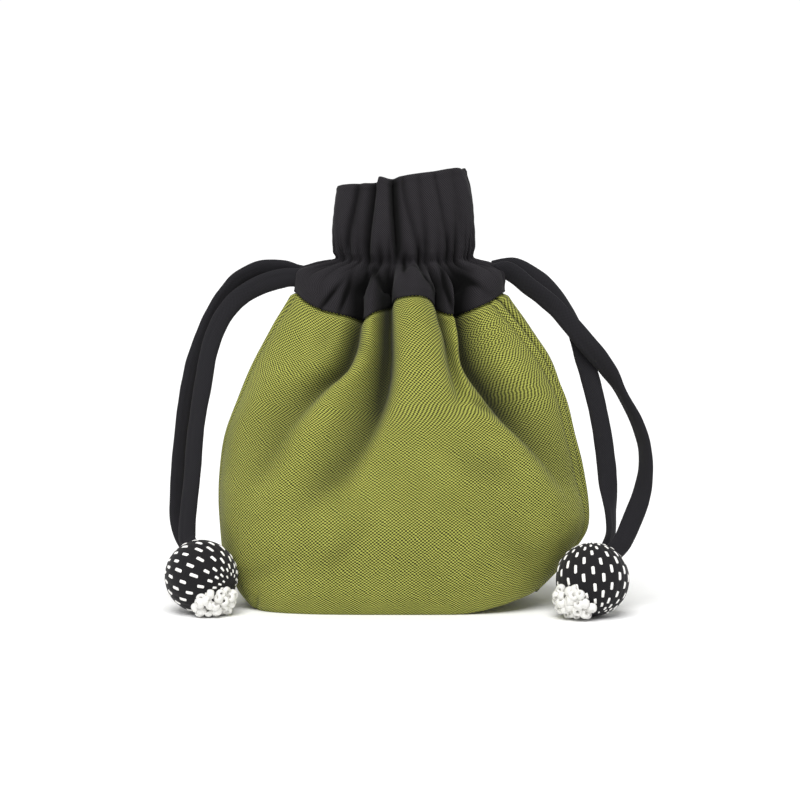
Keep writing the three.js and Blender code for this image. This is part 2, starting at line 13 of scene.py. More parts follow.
import bpy
import numpy as np
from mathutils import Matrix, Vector

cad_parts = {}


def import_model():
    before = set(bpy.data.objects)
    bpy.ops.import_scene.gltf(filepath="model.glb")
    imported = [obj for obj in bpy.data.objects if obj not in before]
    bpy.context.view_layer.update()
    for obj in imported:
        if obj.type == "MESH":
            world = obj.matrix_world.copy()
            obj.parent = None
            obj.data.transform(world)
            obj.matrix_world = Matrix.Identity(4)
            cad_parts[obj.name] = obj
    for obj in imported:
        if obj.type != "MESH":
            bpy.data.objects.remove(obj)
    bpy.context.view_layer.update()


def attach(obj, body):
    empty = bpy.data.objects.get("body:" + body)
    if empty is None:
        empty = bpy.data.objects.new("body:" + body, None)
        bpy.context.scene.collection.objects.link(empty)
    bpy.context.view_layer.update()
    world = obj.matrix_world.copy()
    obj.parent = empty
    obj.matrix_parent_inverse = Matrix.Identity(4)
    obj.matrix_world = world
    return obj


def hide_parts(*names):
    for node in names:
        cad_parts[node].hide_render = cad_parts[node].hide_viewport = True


LOG = logging.getLogger("pouch")
MM = 0.001
TAU = 2 * np.pi


class Side(Enum):
    """The pouch's front or back."""

    FRONT = "front"
    BACK = "back"


class Hand(Enum):
    """The pouch's left or right, as the camera sees it."""

    LEFT = "left"
    RIGHT = "right"


# Curves and arrays


def rising(low: float, high: float, value: np.ndarray) -> np.ndarray:
    """A smooth step from 0 at low to 1 at high: 3t squared minus 2t cubed.

    Args:
        low: where the step starts.
        high: where the step ends.
        value: the places to work it out at.

    Returns:
        The step's height at each place.
    """
    t = np.clip((value - low) / (high - low), 0.0, 1.0)
    return t * t * (3 - 2 * t)


def falling(low: float, high: float, value: np.ndarray) -> np.ndarray:
    """A smooth step from 1 at low to 0 at high, with the arguments of rising."""
    return 1 - rising(low, high, value)


def through(places: np.ndarray, values: np.ndarray, at: np.ndarray) -> np.ndarray:
    """A cubic curve through values at rising places, each slope taken from the two neighbours.

    Args:
        places: where the values lie, rising.
        values: the values, one per place, or one row per place.
        at: the places asked for.

    Returns:
        The curve at each place asked for.
    """
    places = np.asarray(places, float)
    values = np.asarray(values, float)
    last = len(places) - 1
    index = np.arange(last + 1)
    before, after = np.maximum(index - 1, 0), np.minimum(index + 1, last)
    step = places[after] - places[before]
    slopes = (values[after] - values[before]) / (step if values.ndim == 1 else step[:, None])
    at = np.clip(at, places[0], places[-1])
    i = np.clip(np.searchsorted(places, at, side="right") - 1, 0, last - 1)
    span = places[i + 1] - places[i]
    t = (at - places[i]) / span
    if values.ndim > 1:
        span, t = span[..., None], t[..., None]
    t2, t3 = t * t, t * t * t
    return (
        (2 * t3 - 3 * t2 + 1) * values[i]
        + (t3 - 2 * t2 + t) * span * slopes[i]
        + (3 * t2 - 2 * t3) * values[i + 1]
        + (t3 - t2) * span * slopes[i + 1]
    )


def bump(distance: np.ndarray, near: np.ndarray, far: np.ndarray, power: float = 2.0) -> np.ndarray:
    """A bump of height 1: e to the minus (distance over width) to a power, with a width for each side.

    Args:
        distance: how far each place lies from the bump's line.
        near: the width on the side where distance is negative.
        far: the width on the other side.
        power: 2 for a round top, and less for a creased one.

    Returns:
        The bump's height at each place.
    """
    width = np.where(distance < 0, near, far)
    return np.exp(-(np.abs(distance / width) ** power))


def hill(distance: np.ndarray, width: float) -> np.ndarray:
    """A round hill of height 1 around 0: e to the minus square of the distance over the width."""
    return np.exp(-((distance / width) ** 2))


def superellipse(power: np.ndarray | float, angle: np.ndarray) -> tuple[np.ndarray, np.ndarray]:
    """Points of a rounded square of half size 1: their powers across and along add up to 1.

    Args:
        power: 2 for a circle, and more for a squarer outline.
        angle: the angles to work it out at.

    Returns:
        How far across and how far along each point lies.
    """
    cosine, sine = np.cos(angle), np.sin(angle)
    reach = (np.abs(cosine) ** power + np.abs(sine) ** power) ** (-1 / power)
    return reach * cosine, reach * sine


def length_of(line: np.ndarray) -> float:
    """The length of a line of points."""
    return float(np.linalg.norm(np.diff(line, axis=0), axis=1).sum())


def unit(vectors: np.ndarray) -> np.ndarray:
    """Each vector divided by its own length."""
    return vectors / np.maximum(np.linalg.norm(vectors, axis=-1, keepdims=True), 1e-12)


def ripple(u: np.ndarray, v: np.ndarray, seed: int, size: float, count: int = 7) -> np.ndarray:
    """Smooth unevenness between -1 and 1: a mean of sine waves in scattered directions and lengths.

    Args:
        u: first coordinate of each place, in metres.
        v: second coordinate.
        seed: which unevenness it is.
        size: the middle wavelength, in metres.
        count: how many waves are added.

    Returns:
        The unevenness at each place.
    """
    shortest, longest = 0.6, 1.7
    gain = 1.6
    rng = np.random.default_rng(seed)
    total = np.zeros(np.broadcast(u, v).shape)
    for _ in range(count):
        angle, phase = rng.uniform(0, TAU, 2)
        wave = TAU / (size * rng.uniform(shortest, longest))
        total += np.sin(wave * (u * np.cos(angle) + v * np.sin(angle)) + phase)
    return total / count * gain


def stack(*coordinates: np.ndarray) -> np.ndarray:
    """Joins coordinates into one array of points, each spread over the shape that they share."""
    return np.stack(np.broadcast_arrays(*coordinates), axis=-1)


def spherical(radius: np.ndarray, polar: np.ndarray, turn: np.ndarray) -> np.ndarray:
    """Points at a radius, an angle from the third axis and a turn round it, all in one array."""
    flat = radius * np.sin(polar)
    return stack(flat * np.cos(turn), flat * np.sin(turn), radius * np.cos(polar))


# Meshes


def grid_quads(rows: int, columns: int, ring: bool = False, loop: bool = False) -> np.ndarray:
    """The quads of a grid of points, as rows of four indices.

    Args:
        rows: points up the grid.
        columns: points along it.
        ring: joins the last column to the first.
        loop: joins the last row to the first.

    Returns:
        An array of quads, wound so that columns x rows points outwards.
    """
    i = np.arange(rows if loop else rows - 1)[:, None]
    j = np.arange(columns if ring else columns - 1)[None, :]
    i2, j2 = (i + 1) % rows, (j + 1) % columns
    quads = np.stack([i * columns + j, i * columns + j2, i2 * columns + j2, i2 * columns + j], axis=-1)
    return quads.reshape(-1, 4)


def capped_tube(rows: int, columns: int) -> list[list[int]]:
    """The faces of a closed tube: quads between its rings, and one face over each end.

    Args:
        rows: how many rings it has.
        columns: how many points a ring has. They run clockwise, seen from the last ring.

    Returns:
        The faces as lists of indices.
    """
    last = (rows - 1) * columns
    ends = [list(range(columns)), list(range(last, last + columns))[::-1]]
    return grid_quads(rows, columns, ring=True)[:, ::-1].tolist() + ends


def repeated(faces: np.ndarray, count: int, size: int) -> np.ndarray:
    """The faces of many equal shapes whose points follow one another, size points to each shape."""
    return (faces[None] + (np.arange(count) * size)[:, None, None]).reshape(-1, faces.shape[-1])


def new_mesh(
    name: str,
    points: np.ndarray,
    faces: np.ndarray | list,
    uv: np.ndarray | None = None,
    fold: np.ndarray | None = None,
) -> bpy.types.Object:
    """A smooth-shaded mesh object at the origin.

    Args:
        name: the object's name.
        points: its vertices, in metres.
        faces: quads or triangles as rows of indices.
        uv: a cloth coordinate for each vertex, in metres, for materials that follow the surface.
        fold: painted shade for each vertex, from 0 to 1, kept as the Fold attribute, for materials that
            darken their colour there.

    Returns:
        The new object, linked to the scene.
    """
    mesh = bpy.data.meshes.new(name)
    points = np.asarray(points, float).reshape(-1, 3)
    mesh.from_pydata(points.tolist(), [], faces.tolist() if isinstance(faces, np.ndarray) else faces)
    if uv is not None:
        corners = np.empty(len(mesh.loops), np.int32)
        mesh.loops.foreach_get("vertex_index", corners)
        layer = mesh.uv_layers.new(name="Cloth")
        layer.data.foreach_set("uv", np.asarray(uv, float).reshape(-1, 2)[corners].ravel())
    # The Fold attribute holds painted shade: how far the colour is darkened in folds, creases and seam
    # grooves.
    if fold is not None:
        attribute = mesh.attributes.new("Fold", "FLOAT", "POINT")
        attribute.data.foreach_set("value", np.asarray(fold, float).ravel())
    mesh.polygons.foreach_set("use_smooth", np.ones(len(mesh.polygons), bool))
    mesh.update()
    obj = bpy.data.objects.new(name, mesh)
    bpy.context.scene.collection.objects.link(obj)
    return obj


def grid_normals(points: np.ndarray, ring: bool = False) -> np.ndarray:
    """Outward unit normals of a grid surface: its slope along the columns crossed with that up the rows.

    Args:
        points: the grid, rows by columns by 3.
        ring: whether the columns close on themselves.

    Returns:
        A unit normal for each point.
    """
    if ring:
        along = np.roll(points, -1, axis=1) - np.roll(points, 1, axis=1)
    else:
        along = np.gradient(points, axis=1)
    return unit(np.cross(along, np.gradient(points, axis=0)))


def arc_uv(points: np.ndarray, middle: int, ring: bool = False) -> np.ndarray:
    """Cloth coordinates of a grid: the length along each row from a middle column, and up each column.

    Args:
        points: the grid, rows by columns by 3.
        middle: the column where the first coordinate is 0.
        ring: whether the columns close on themselves.

    Returns:
        Two coordinates for each point, in metres.
    """
    if ring:
        points = np.concatenate([points, points[:, :1]], axis=1)
    along = np.linalg.norm(np.diff(points, axis=1), axis=2)
    u = np.concatenate([np.zeros((len(points), 1)), np.cumsum(along, axis=1)], axis=1)
    u -= u[:, middle : middle + 1]
    up = np.linalg.norm(np.diff(points, axis=0), axis=2).mean(axis=1)
    uv = stack(u, np.concatenate([[0.0], np.cumsum(up)])[:, None])
    return uv[:, :-1] if ring else uv


# Finishes


def linear(hex_colour: str) -> tuple[float, float, float, float]:
    """Turns an sRGB hex value into a linear colour.

    Args:
        hex_colour: a value such as #8A9A3C.

    Returns:
        Red, green, blue and an alpha of 1.
    """
    value = hex_colour.lstrip("#")
    parts = [int(value[i : i + 2], 16) / 255 for i in (0, 2, 4)]
    parts = [c / 12.92 if c <= 0.04045 else ((c + 0.055) / 1.055) ** 2.4 for c in parts]
    return (*parts, 1.0)


def add_node(
    tree: bpy.types.NodeTree, kind: str, settings: dict | None = None, **inputs: object
) -> bpy.types.Node:
    """Adds a node with its settings, input values and links.

    Args:
        tree: the node tree.
        kind: the node's type, such as ShaderNodeMath.
        settings: properties of the node, by name.
        inputs: values or output sockets for its inputs. A name is the input's name with _ for a space,
            or i0, i1 and so on for an input by its place.

    Returns:
        The new node.
    """
    node = tree.nodes.new(kind)
    for name, value in (settings or {}).items():
        setattr(node, name, value)
    for name, value in inputs.items():
        numbered = name[0] == "i" and name[1:].isdigit()
        socket = node.inputs[int(name[1:])] if numbered else node.inputs[name.replace("_", " ")]
        if isinstance(value, bpy.types.NodeSocket):
            tree.links.new(value, socket)
        else:
            socket.default_value = value
    return node


class Finish:
    """A material: a principled surface whose colour and bump a subclass works out."""

    name = "finish"

    def __init__(self) -> None:
        """Makes the material and its surface."""
        self.material = bpy.data.materials.new(self.name)
        self.material.use_nodes = True
        self.tree = self.material.node_tree
        self.tree.nodes.clear()
        self.surface = add_node(self.tree, "ShaderNodeBsdfPrincipled")
        add_node(self.tree, "ShaderNodeOutputMaterial", Surface=self.surface.outputs[0])
        self.build()

    def build(self) -> None:
        """Adds the finish's own nodes."""

    def math(self, operation: str, *values: object) -> bpy.types.NodeSocket:
        """One step of arithmetic on numbers or sockets.

        Args:
            operation: the name of the sum, such as MULTIPLY.
            values: its one to three operands.

        Returns:
            The socket with the result.
        """
        operands = {f"i{k}": value for k, value in enumerate(values)}
        return add_node(self.tree, "ShaderNodeMath", {"operation": operation}, **operands).outputs[0]

    def blend(self, share: object, low: object, high: object) -> bpy.types.NodeSocket:
        """A mix of two colours: all low where share is 0 and all high where it is 1."""
        node = add_node(self.tree, "ShaderNodeMix", {"data_type": "RGBA"}, i0=share, i6=low, i7=high)
        return node.outputs[2]

    def noise(self, size: float, detail: float) -> bpy.types.NodeSocket:
        """Adds noise over the object's own coordinates.

        Args:
            size: how large its grains are, in metres.
            detail: how many times finer grains are added.

        Returns:
            The socket with the noise, from 0 to 1.
        """
        place = add_node(self.tree, "ShaderNodeTexCoord").outputs["Object"]
        texture = add_node(self.tree, "ShaderNodeTexNoise", Vector=place, Scale=1 / size, Detail=detail)
        return texture.outputs["Fac"]

    def speckle(self, size: float, detail: float, low: str, high: str) -> bpy.types.NodeSocket:
        """Colours the surface with noise between two colours.

        Args:
            size: how large its grains are, in metres.
            detail: how many times finer grains are added.
            low: the hex colour where the noise is 0.
            high: the hex colour where it is 1.

        Returns:
            The socket with the noise.
        """
        grain = self.noise(size, detail)
        self.tree.links.new(self.blend(grain, linear(low), linear(high)), self.surface.inputs["Base Color"])
        return grain

    def emboss(self, height: bpy.types.NodeSocket, strength: float, distance: float) -> None:
        """Raises the surface by a height, with the bump's strength and its distance in metres."""
        bump_node = add_node(self.tree, "ShaderNodeBump", Height=height, Strength=strength, Distance=distance)
        self.tree.links.new(bump_node.outputs[0], self.surface.inputs["Normal"])

    def set_surface(self, **values: object) -> None:
        """Sets the surface's own sockets. A name is the socket's name with _ for a space."""
        for name, value in values.items():
            self.surface.inputs[name.replace("_", " ")].default_value = value

    def wear(self, obj: bpy.types.Object) -> None:
        """Puts this finish on an object as its only material."""
        obj.data.materials.clear()
        obj.data.materials.append(self.material)


def dress(obj: bpy.types.Object, finish: Finish, slot: str, *nodes: str) -> None:
    """Finishes a piece, makes it part of the pouch's one body, and hides the CAD nodes that it stands for.

    Args:
        obj: the piece.
        finish: its material.
        slot: its material slot. Not used.
        nodes: the nodes that it replaces.
    """
    finish.wear(obj)
    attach(obj, "root")
    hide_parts(*nodes)


@dataclass(frozen=True)
class Weave:
    """A plain weave: warp and weft spacing in metres, how high the threads stand and how uneven they are."""

    warp: float
    weft: float
    relief: float
    slub: float


class WovenCloth(Finish):
    """Cotton in a plain weave: two sets of threads that pass over and under each other.

    over, under and shade are the colours of the warp, of the weft and of the warp where its dye is dull,
    and deep is the painted shade that the colour is darkened towards in folds and seam grooves.
    slub_length and dye_patch are the sizes of uneven stretches of thread and of dull patches, crispness
    how sharply the threads part, and warp_share how much of the warp shows.
    """

    weave: Weave
    over: str
    under: str
    shade: str
    sheen: float
    # deep is painted shade: the colour that the folds are darkened towards
    deep = "#14160A"
    rough = 0.88
    gloss = 0.25
    slub_length = 3.85 * MM
    dye_patch = 18.2 * MM
    dull_share = 0.55
    crispness = 1.9
    warp_share = 0.46

    def build(self) -> None:
        """Colours the crossings by which thread is on top, and raises each thread's middle.

        The crossing pattern is sin(pi u / warp spacing) times sin(pi v / weft spacing): it is positive
        where the warp is on top and negative where the weft is. The noise called slubs shifts the threads,
        and the one called patches makes the dye uneven. The Fold attribute then blends the colour towards
        deep, which paints shade into the folds and seam grooves.
        """
        uv = add_node(self.tree, "ShaderNodeUVMap", {"uv_map": "Cloth"}).outputs[0]
        threads = add_node(self.tree, "ShaderNodeSeparateXYZ", Vector=uv)
        slubs = self.noise(self.slub_length, 2.0)
        patches = self.noise(self.dye_patch, 3.0)
        shift_reach = 4 * self.weave.slub * self.weave.weft
        shift = self.math("MULTIPLY", self.math("SUBTRACT", slubs, 0.5), shift_reach)
        warp, weft = (
            self.math("SINE", self.math("MULTIPLY", self.math("ADD", place, shift), np.pi / spacing))
            for place, spacing in zip(threads.outputs, (self.weave.warp, self.weave.weft))
        )
        cross = self.math("MULTIPLY", warp, weft)
        top = self.math("MULTIPLY_ADD", cross, self.crispness, self.warp_share)
        top = add_node(self.tree, "ShaderNodeClamp", Value=top).outputs[0]
        dye = self.math("MULTIPLY", patches, self.dull_share)
        colour = self.blend(top, linear(self.under), self.blend(dye, linear(self.over), linear(self.shade)))
        # painted shade: the Fold attribute blends the colour towards deep in the folds and seam grooves,
        # where shade falls
        fold = add_node(self.tree, "ShaderNodeAttribute", {"attribute_name": "Fold"}).outputs["Fac"]
        colour = self.blend(fold, colour, linear(self.deep))
        self.tree.links.new(colour, self.surface.inputs["Base Color"])
        self.set_surface(
            Roughness=self.rough, Specular_IOR_Level=self.gloss, Sheen_Weight=self.sheen, Sheen_Roughness=0.5
        )
        height = self.math("MULTIPLY_ADD", cross, 0.5, self.math("MULTIPLY", slubs, 0.35))
        self.emboss(height, self.weave.relief, 0.35 * self.weave.weft)


class OliveChambray(WovenCloth):
    """Handloom cotton with yellow-green warp and dark weft. The eye sees a fine two-coloured grain.

    Real threads lie about 0.4 mm apart. They are drawn 0.6 to 0.8 mm apart, because finer ones do not show.
    """

    name = "olive_chambray_cotton"
    weave = Weave(warp=0.78 * MM, weft=0.6 * MM, relief=0.8, slub=0.45)
    over = "#BDC05C"
    under = "#171A05"
    shade = "#8E923D"
    sheen = 0.06


class BlackCotton(WovenCloth):
    """Black dyed cotton poplin of the neck. The eye sees soft grey edges on the folds and a faint grain."""

    name = "black_cotton_poplin"
    weave = Weave(warp=0.42 * MM, weft=0.42 * MM, relief=0.4, slub=0.3)
    over = "#373538"
    # deep is painted shade: the near black that the neck's folds and creases are darkened towards
    deep = "#030303"
    under = "#1C1A1D"
    shade = "#2D2B2E"
    gloss = 0.08
    sheen = 0.04


class BlackCordCotton(WovenCloth):
    """The same dyed cotton as a sewn tube. The eye sees it a little smoother and bluer than the neck."""

    name = "black_cotton_cord_tube"
    weave = Weave(warp=0.42 * MM, weft=0.42 * MM, relief=0.35, slub=0.3)
    over = "#212025"
    under = "#121114"
    shade = "#1A191D"
    sheen = 0.07


class BallCotton(WovenCloth):
    """Black cotton pulled tight over a wooden ball. The eye sees deep black between the stitches."""

    name = "black_cotton_on_ball"
    weave = Weave(warp=0.42 * MM, weft=0.42 * MM, relief=0.4, slub=0.2)
    over = "#1D1B1E"
    under = "#121113"
    shade = "#171618"
    sheen = 0.08


class WhiteThread(Finish):
    """Soft white cotton embroidery thread, twisted. The eye sees matt white with a faint twist."""

    name = "white_cotton_thread"

    def build(self) -> None:
        """Matt white with fine strands, a third of a millimetre wide, across the thread."""
        strands = self.speckle(0.333 * MM, 2.0, "#EFECE4", "#FFFFFF")
        self.set_surface(Roughness=0.8)
        self.emboss(strands, 0.4, 0.1 * MM)


class MilkGlass(Finish):
    """Opaque white glass seed beads, drawn and fire-polished. The eye sees a soft white gloss."""

    name = "white_glass_seed_bead"

    def build(self) -> None:
        """White with a clear gloss, and a faint cloudiness in the glass."""
        self.speckle(1.11 * MM, 1.0, "#E2E1DD", "#F0EFEC")
        self.set_surface(Roughness=0.16, IOR=1.52, Subsurface_Weight=0.15, Subsurface_Radius=(MM, MM, MM))


class WhitePaper(Finish):
    """The white card that the pouch stands on, pressed smooth. The eye sees plain matt white."""

    name = "white_card"

    def build(self) -> None:
        """Plain matt white with the faintest tooth."""
        self.speckle(2.5 * MM, 2.0, "#FBFBFB", "#FFFFFF")
        self.set_surface(Roughness=0.9)


# The cloth's form


@dataclass(frozen=True)
class Section:
    """A level section of the cloth, in metres.

    left, right, front and back are its half sizes, square its squareness (2 is an ellipse), rise how far
    its sides stand above its middle, and tilt how far its right end stands above the middle.
    """

    up: float
    left: float
    right: float
    front: float
    back: float
    square: float = 2.0
    rise: float = 0.0
    tilt: float = 0.0


@dataclass(frozen=True)
class Fold:
    """A fold of the bag: a valley or a ridge that runs down from the top seam.

    at is where it lies across the width, from -1 to 1, and out how far it stands out as a share of the
    bag's half depth, both at the heights in ClothForm.fold_ups. near and far are its widths to the left
    and right as shares of the bag's half width, spread how much wider it is at the bottom, and power its
    roundness.
    """

    at: tuple[float, ...]
    out: tuple[float, ...]
    near: float
    far: float
    spread: float
    power: float = 2.0


@dataclass(frozen=True)
class Pleat:
    """A valley of the frill: its place across at the gathers and at the edge, its depth and its widths."""

    low: float
    top: float
    deep: float
    near: float
    far: float


@dataclass(frozen=True)
class Dent:
    """A short local dent (or bulge, if out is positive) of the pouch's front, in millimetres.

    x and z are its middle, along and across its sizes, slant its angle from level in degrees, and out how
    far it stands out.
    """

    x: float
    z: float
    along: float
    across: float
    slant: float
    out: float


@dataclass(frozen=True)
class Tuck:
    """A creased valley at the gathers.

    turn is its place, size its depth as a share of the tuck depth, width its width as an angle, and drop
    and reach how far it runs down and up, in metres.
    """

    turn: float
    size: float
    width: float
    drop: float
    reach: float


@dataclass
class ClothForm:
    """The pouch's cloth as one surface over height and turn.

    turn is 0 at the right side, 90 degrees at the back, 180 at the left and 270 at the front. up is the
    height along the middle of the front: the bag ends at body_height, the tunnel at the gathers
    (tunnel_height above it), and the frill at its edge (frill_height above that).
    """

    body_width: float = 154.6 * MM
    body_depth: float = 82 * MM
    body_height: float = 122.3 * MM
    side_rise: float = 9.2 * MM
    corner_lift: float = 10.5 * MM
    tunnel_height: float = 21.7 * MM
    neck_width: float = 59 * MM
    neck_depth: float = 23 * MM
    gather_rise: float = 1.6 * MM
    frill_height: float = 34.3 * MM
    frill_tilt: float = 3.6 * MM
    tucks: int = 36
    tuck_depth: float = 2.5 * MM
    fold_ups: tuple[float, ...] = (1.0, 0.85, 0.75, 0.65, 0.525, 0.41)
    body_rows: tuple[tuple[float, ...], ...] = (
        # up, left, right, front, back, squareness, rise: shares of the bag's own sizes
        (0.0, 0.83, 0.73, 0.77, 0.76, 3.6, 0.0),
        (0.02, 0.86, 0.775, 0.81, 0.81, 3.5, 0.0),
        (0.065, 0.912, 0.85, 0.87, 0.87, 3.2, 0.0),
        (0.15, 0.968, 0.935, 0.93, 0.93, 2.9, 0.0),
        (0.245, 0.99, 0.985, 0.985, 0.98, 2.7, 0.0),
        (0.36, 1.0, 1.0, 1.0, 1.0, 2.5, 0.0),
        (0.475, 0.99, 0.972, 0.985, 0.985, 2.4, 0.06),
        (0.59, 0.955, 0.925, 0.94, 0.94, 2.3, 0.15),
        (0.7, 0.885, 0.87, 0.87, 0.87, 2.2, 0.3),
        (0.81, 0.795, 0.79, 0.78, 0.78, 2.1, 0.5),
        (0.905, 0.7, 0.675, 0.68, 0.67, 2.05, 0.76),
        (1.0, 0.598, 0.554, 0.575, 0.56, 2.0, 1.0),
    )
    tunnel_rows: tuple[tuple[float, ...], ...] = (
        # up, wide, deep, rise: from 1, the bag's top, to 0, the neck
        (0.26, 0.985, 0.975, 0.95),
        (0.52, 0.9, 0.86, 0.76),
        (0.77, 0.52, 0.5, 0.4),
        (1.0, 0.0, 0.0, 0.0),
    )
    frill_rows: tuple[tuple[float, ...], ...] = (
        # up, left, right, front, back, tilt: shares of the neck's own sizes
        (0.1, 1.02, 1.01, 1.04, 1.02, 0.3),
        (0.4, 1.02, 1.0, 1.02, 1.0, 0.5),
        (0.72, 0.99, 0.96, 1.0, 0.97, 0.8),
        (1.0, 0.945, 0.87, 0.98, 0.94, 1.0),
    )
    front_folds: tuple[Fold, ...] = (
        # left valley, and the soft ridge on its right
        Fold(
            (-0.41, -0.42, -0.56, -0.66, -0.74, -0.8),
            (-0.22, -0.23, -0.17, -0.11, -0.05, 0),
            near=0.09, far=0.04, spread=2.5, power=1.6,
        ),
        Fold(
            (-0.28, -0.29, -0.42, -0.5, -0.56, -0.62),
            (0.06, 0.07, 0.06, 0.05, 0.03, 0.02),
            near=0.07, far=0.07, spread=2.2,
        ),
        # deep valley on the left of the centre pleat, creased along its right side
        Fold(
            (-0.13, -0.1, -0.11, -0.17, -0.27, -0.37),
            (-0.34, -0.35, -0.3, -0.21, -0.12, -0.05),
            near=0.085, far=0.022, spread=3.0, power=1.4,
        ),
        # centre pleat
        Fold(
            (0.08, 0.09, 0.1, 0.12, 0.14, 0.16),
            (0.15, 0.13, 0.1, 0.07, 0.04, 0.03),
            near=0.13, far=0.15, spread=2.6, power=2.4,
        ),
        # narrow valley on its right and the small ridge beside it
        Fold(
            (0.335, 0.327, 0.33, 0.36, 0.4, 0.44),
            (-0.2, -0.18, -0.11, 0, 0, 0),
            near=0.035, far=0.045, spread=1.6, power=1.5,
        ),
        Fold(
            (0.47, 0.385, 0.4, 0.44, 0.5, 0.55),
            (0.05, 0.05, 0.035, 0, 0, 0),
            near=0.03, far=0.025, spread=1.5,
        ),
        # long slanting valley that runs down to the right, with a crisp upper left side
        Fold(
            (0.53, 0.45, 0.52, 0.63, 0.78, 0.88),
            (-0.24, -0.28, -0.26, -0.2, -0.12, -0.04),
            near=0.028, far=0.12, spread=1.9, power=1.4,
        ),
        # full cloth on its right
        Fold(
            (0.75, 0.75, 0.8, 0.86, 0.93, 0.97),
            (0.03, 0.04, 0.04, 0.03, 0.02, 0),
            near=0.1, far=0.1, spread=1.5,
        ),
    )
    back_folds: tuple[Fold, ...] = (
        # valleys and ridges in turn, from the pouch's left side to its right side
        Fold(
            (-0.5, -0.5, -0.54, -0.6, -0.66, -0.72),
            (-0.12, -0.12, -0.1, -0.07, -0.03, 0),
            near=0.07, far=0.05, spread=2.2, power=1.7,
        ),
        Fold(
            (-0.26, -0.26, -0.28, -0.3, -0.34, -0.38),
            (0.1, 0.09, 0.07, 0.05, 0.03, 0.02),
            near=0.11, far=0.11, spread=2.2,
        ),
        Fold(
            (-0.02, -0.03, -0.04, -0.05, -0.07, -0.08),
            (-0.17, -0.16, -0.13, -0.09, -0.04, 0),
            near=0.05, far=0.08, spread=2.4, power=1.6,
        ),
        Fold(
            (0.26, 0.26, 0.27, 0.29, 0.32, 0.35),
            (0.11, 0.1, 0.08, 0.06, 0.04, 0.02),
            near=0.11, far=0.11, spread=2.2,
        ),
        Fold(
            (0.55, 0.54, 0.57, 0.62, 0.68, 0.74),
            (-0.12, -0.12, -0.1, -0.06, -0.03, 0),
            near=0.05, far=0.08, spread=2.2, power=1.7,
        ),
    )
    front_pleats: tuple[Pleat, ...] = (
        Pleat(-0.82, -0.7, 0.2, 0.04, 0.08),
        Pleat(-0.5, -0.43, 0.26, 0.09, 0.035),
        Pleat(-0.11, -0.18, 0.44, 0.035, 0.085),
        Pleat(0.2, -0.02, 0.12, 0.03, 0.06),
        Pleat(0.32, 0.24, 0.08, 0.05, 0.05),
        Pleat(0.62, 0.49, 0.1, 0.03, 0.04),
        Pleat(0.84, 0.78, 0.08, 0.07, 0.07),
    )
    back_pleats: tuple[Pleat, ...] = (
        Pleat(-0.74, -0.7, 0.14, 0.07, 0.07),
        Pleat(-0.36, -0.33, 0.24, 0.07, 0.09),
        Pleat(0.02, 0.05, 0.2, 0.07, 0.07),
        Pleat(0.37, 0.4, 0.26, 0.09, 0.07),
        Pleat(0.72, 0.68, 0.14, 0.07, 0.07),
    )
    seam_lifts: tuple[tuple[float, float], ...] = (
        # place across the front, from -1 to 1, and how far the cloth there is drawn up at the seam
        (-1.0, 0.0), (-0.8, -2.6), (-0.53, -2.3), (-0.36, -1.9), (-0.27, 0.6), (-0.12, 5.7), (-0.03, 7.2),
        (0.2, 7.0), (0.3, 4.2), (0.4, -0.4), (0.48, -1.6), (0.6, -1.7), (0.85, -0.8), (1.0, 0.4),
    )
    seam_lifts_back: tuple[tuple[float, float], ...] = (
        (-1.0, 0.0), (-0.6, -1.8), (-0.28, 2.6), (-0.02, -2.2), (0.26, 3.2), (0.55, -1.8), (1.0, 0.4),
    )
    dents: tuple[Dent, ...] = (
        # x, z, along, across, slant, out
        # creases of the tunnel, from left to right
        Dent(-31, 132, 8, 1.1, 47, -1.0),
        Dent(-24.7, 132.5, 8, 1.0, 70, -1.0),
        Dent(-17, 134, 8, 0.9, 80, -1.0),
        Dent(-8, 132, 10, 1.2, 112, -1.4),
        Dent(0, 141, 4.5, 0.9, 91, -0.9),
        Dent(7.6, 136, 7, 0.9, 121, -1.0),
        Dent(11.6, 132, 8, 0.8, 95, -0.9),
        Dent(17.5, 134, 9, 1.0, 106, -1.2),
        Dent(29, 137, 7, 1.2, 140, -0.7),
        # the bag's soft dents and bulges
        Dent(-17, 110, 7, 3, -62, -0.9),
        Dent(-33, 116, 8, 3.5, 60, -0.8),
        Dent(-58, 62, 18, 5, 56, -0.7),
        Dent(-48, 56, 18, 4, 52, 0.8),
        Dent(-33, 55, 20, 6, 45, -1.0),
        Dent(-25, 27, 13, 4, 45, -0.7),
        Dent(32, 86, 7, 2.6, -28, -1.5),
        Dent(36, 79, 16, 2.4, -34, 1.5),
        Dent(32, 62, 15, 7, -20, -0.9),
        Dent(58, 52, 22, 5, -52, 1.1),
        Dent(44, 30, 26, 7, -58, -0.7),
        Dent(8, 34, 24, 9, 78, 0.6),
        Dent(-62, 16, 14, 4, 20, -0.7),
        # the boxed corner's seam
        Dent(-61, 4, 5, 0.8, 80, -0.9),
    )
    tuck_seed: int = 11
    # painted shade: the depths of a main fold, of a tuck or pleat and of a dent where the painted shade is
    # fullest, and the most that it darkens
    dark_fold: float = 9 * MM
    dark_tuck: float = 4 * MM
    dark_dent: float = 2.5 * MM
    darkest: float = 0.9
    levels: np.ndarray = field(init=False)
    sizes: dict[str, np.ndarray] = field(init=False)
    tuck_list: list[Tuck] = field(init=False)

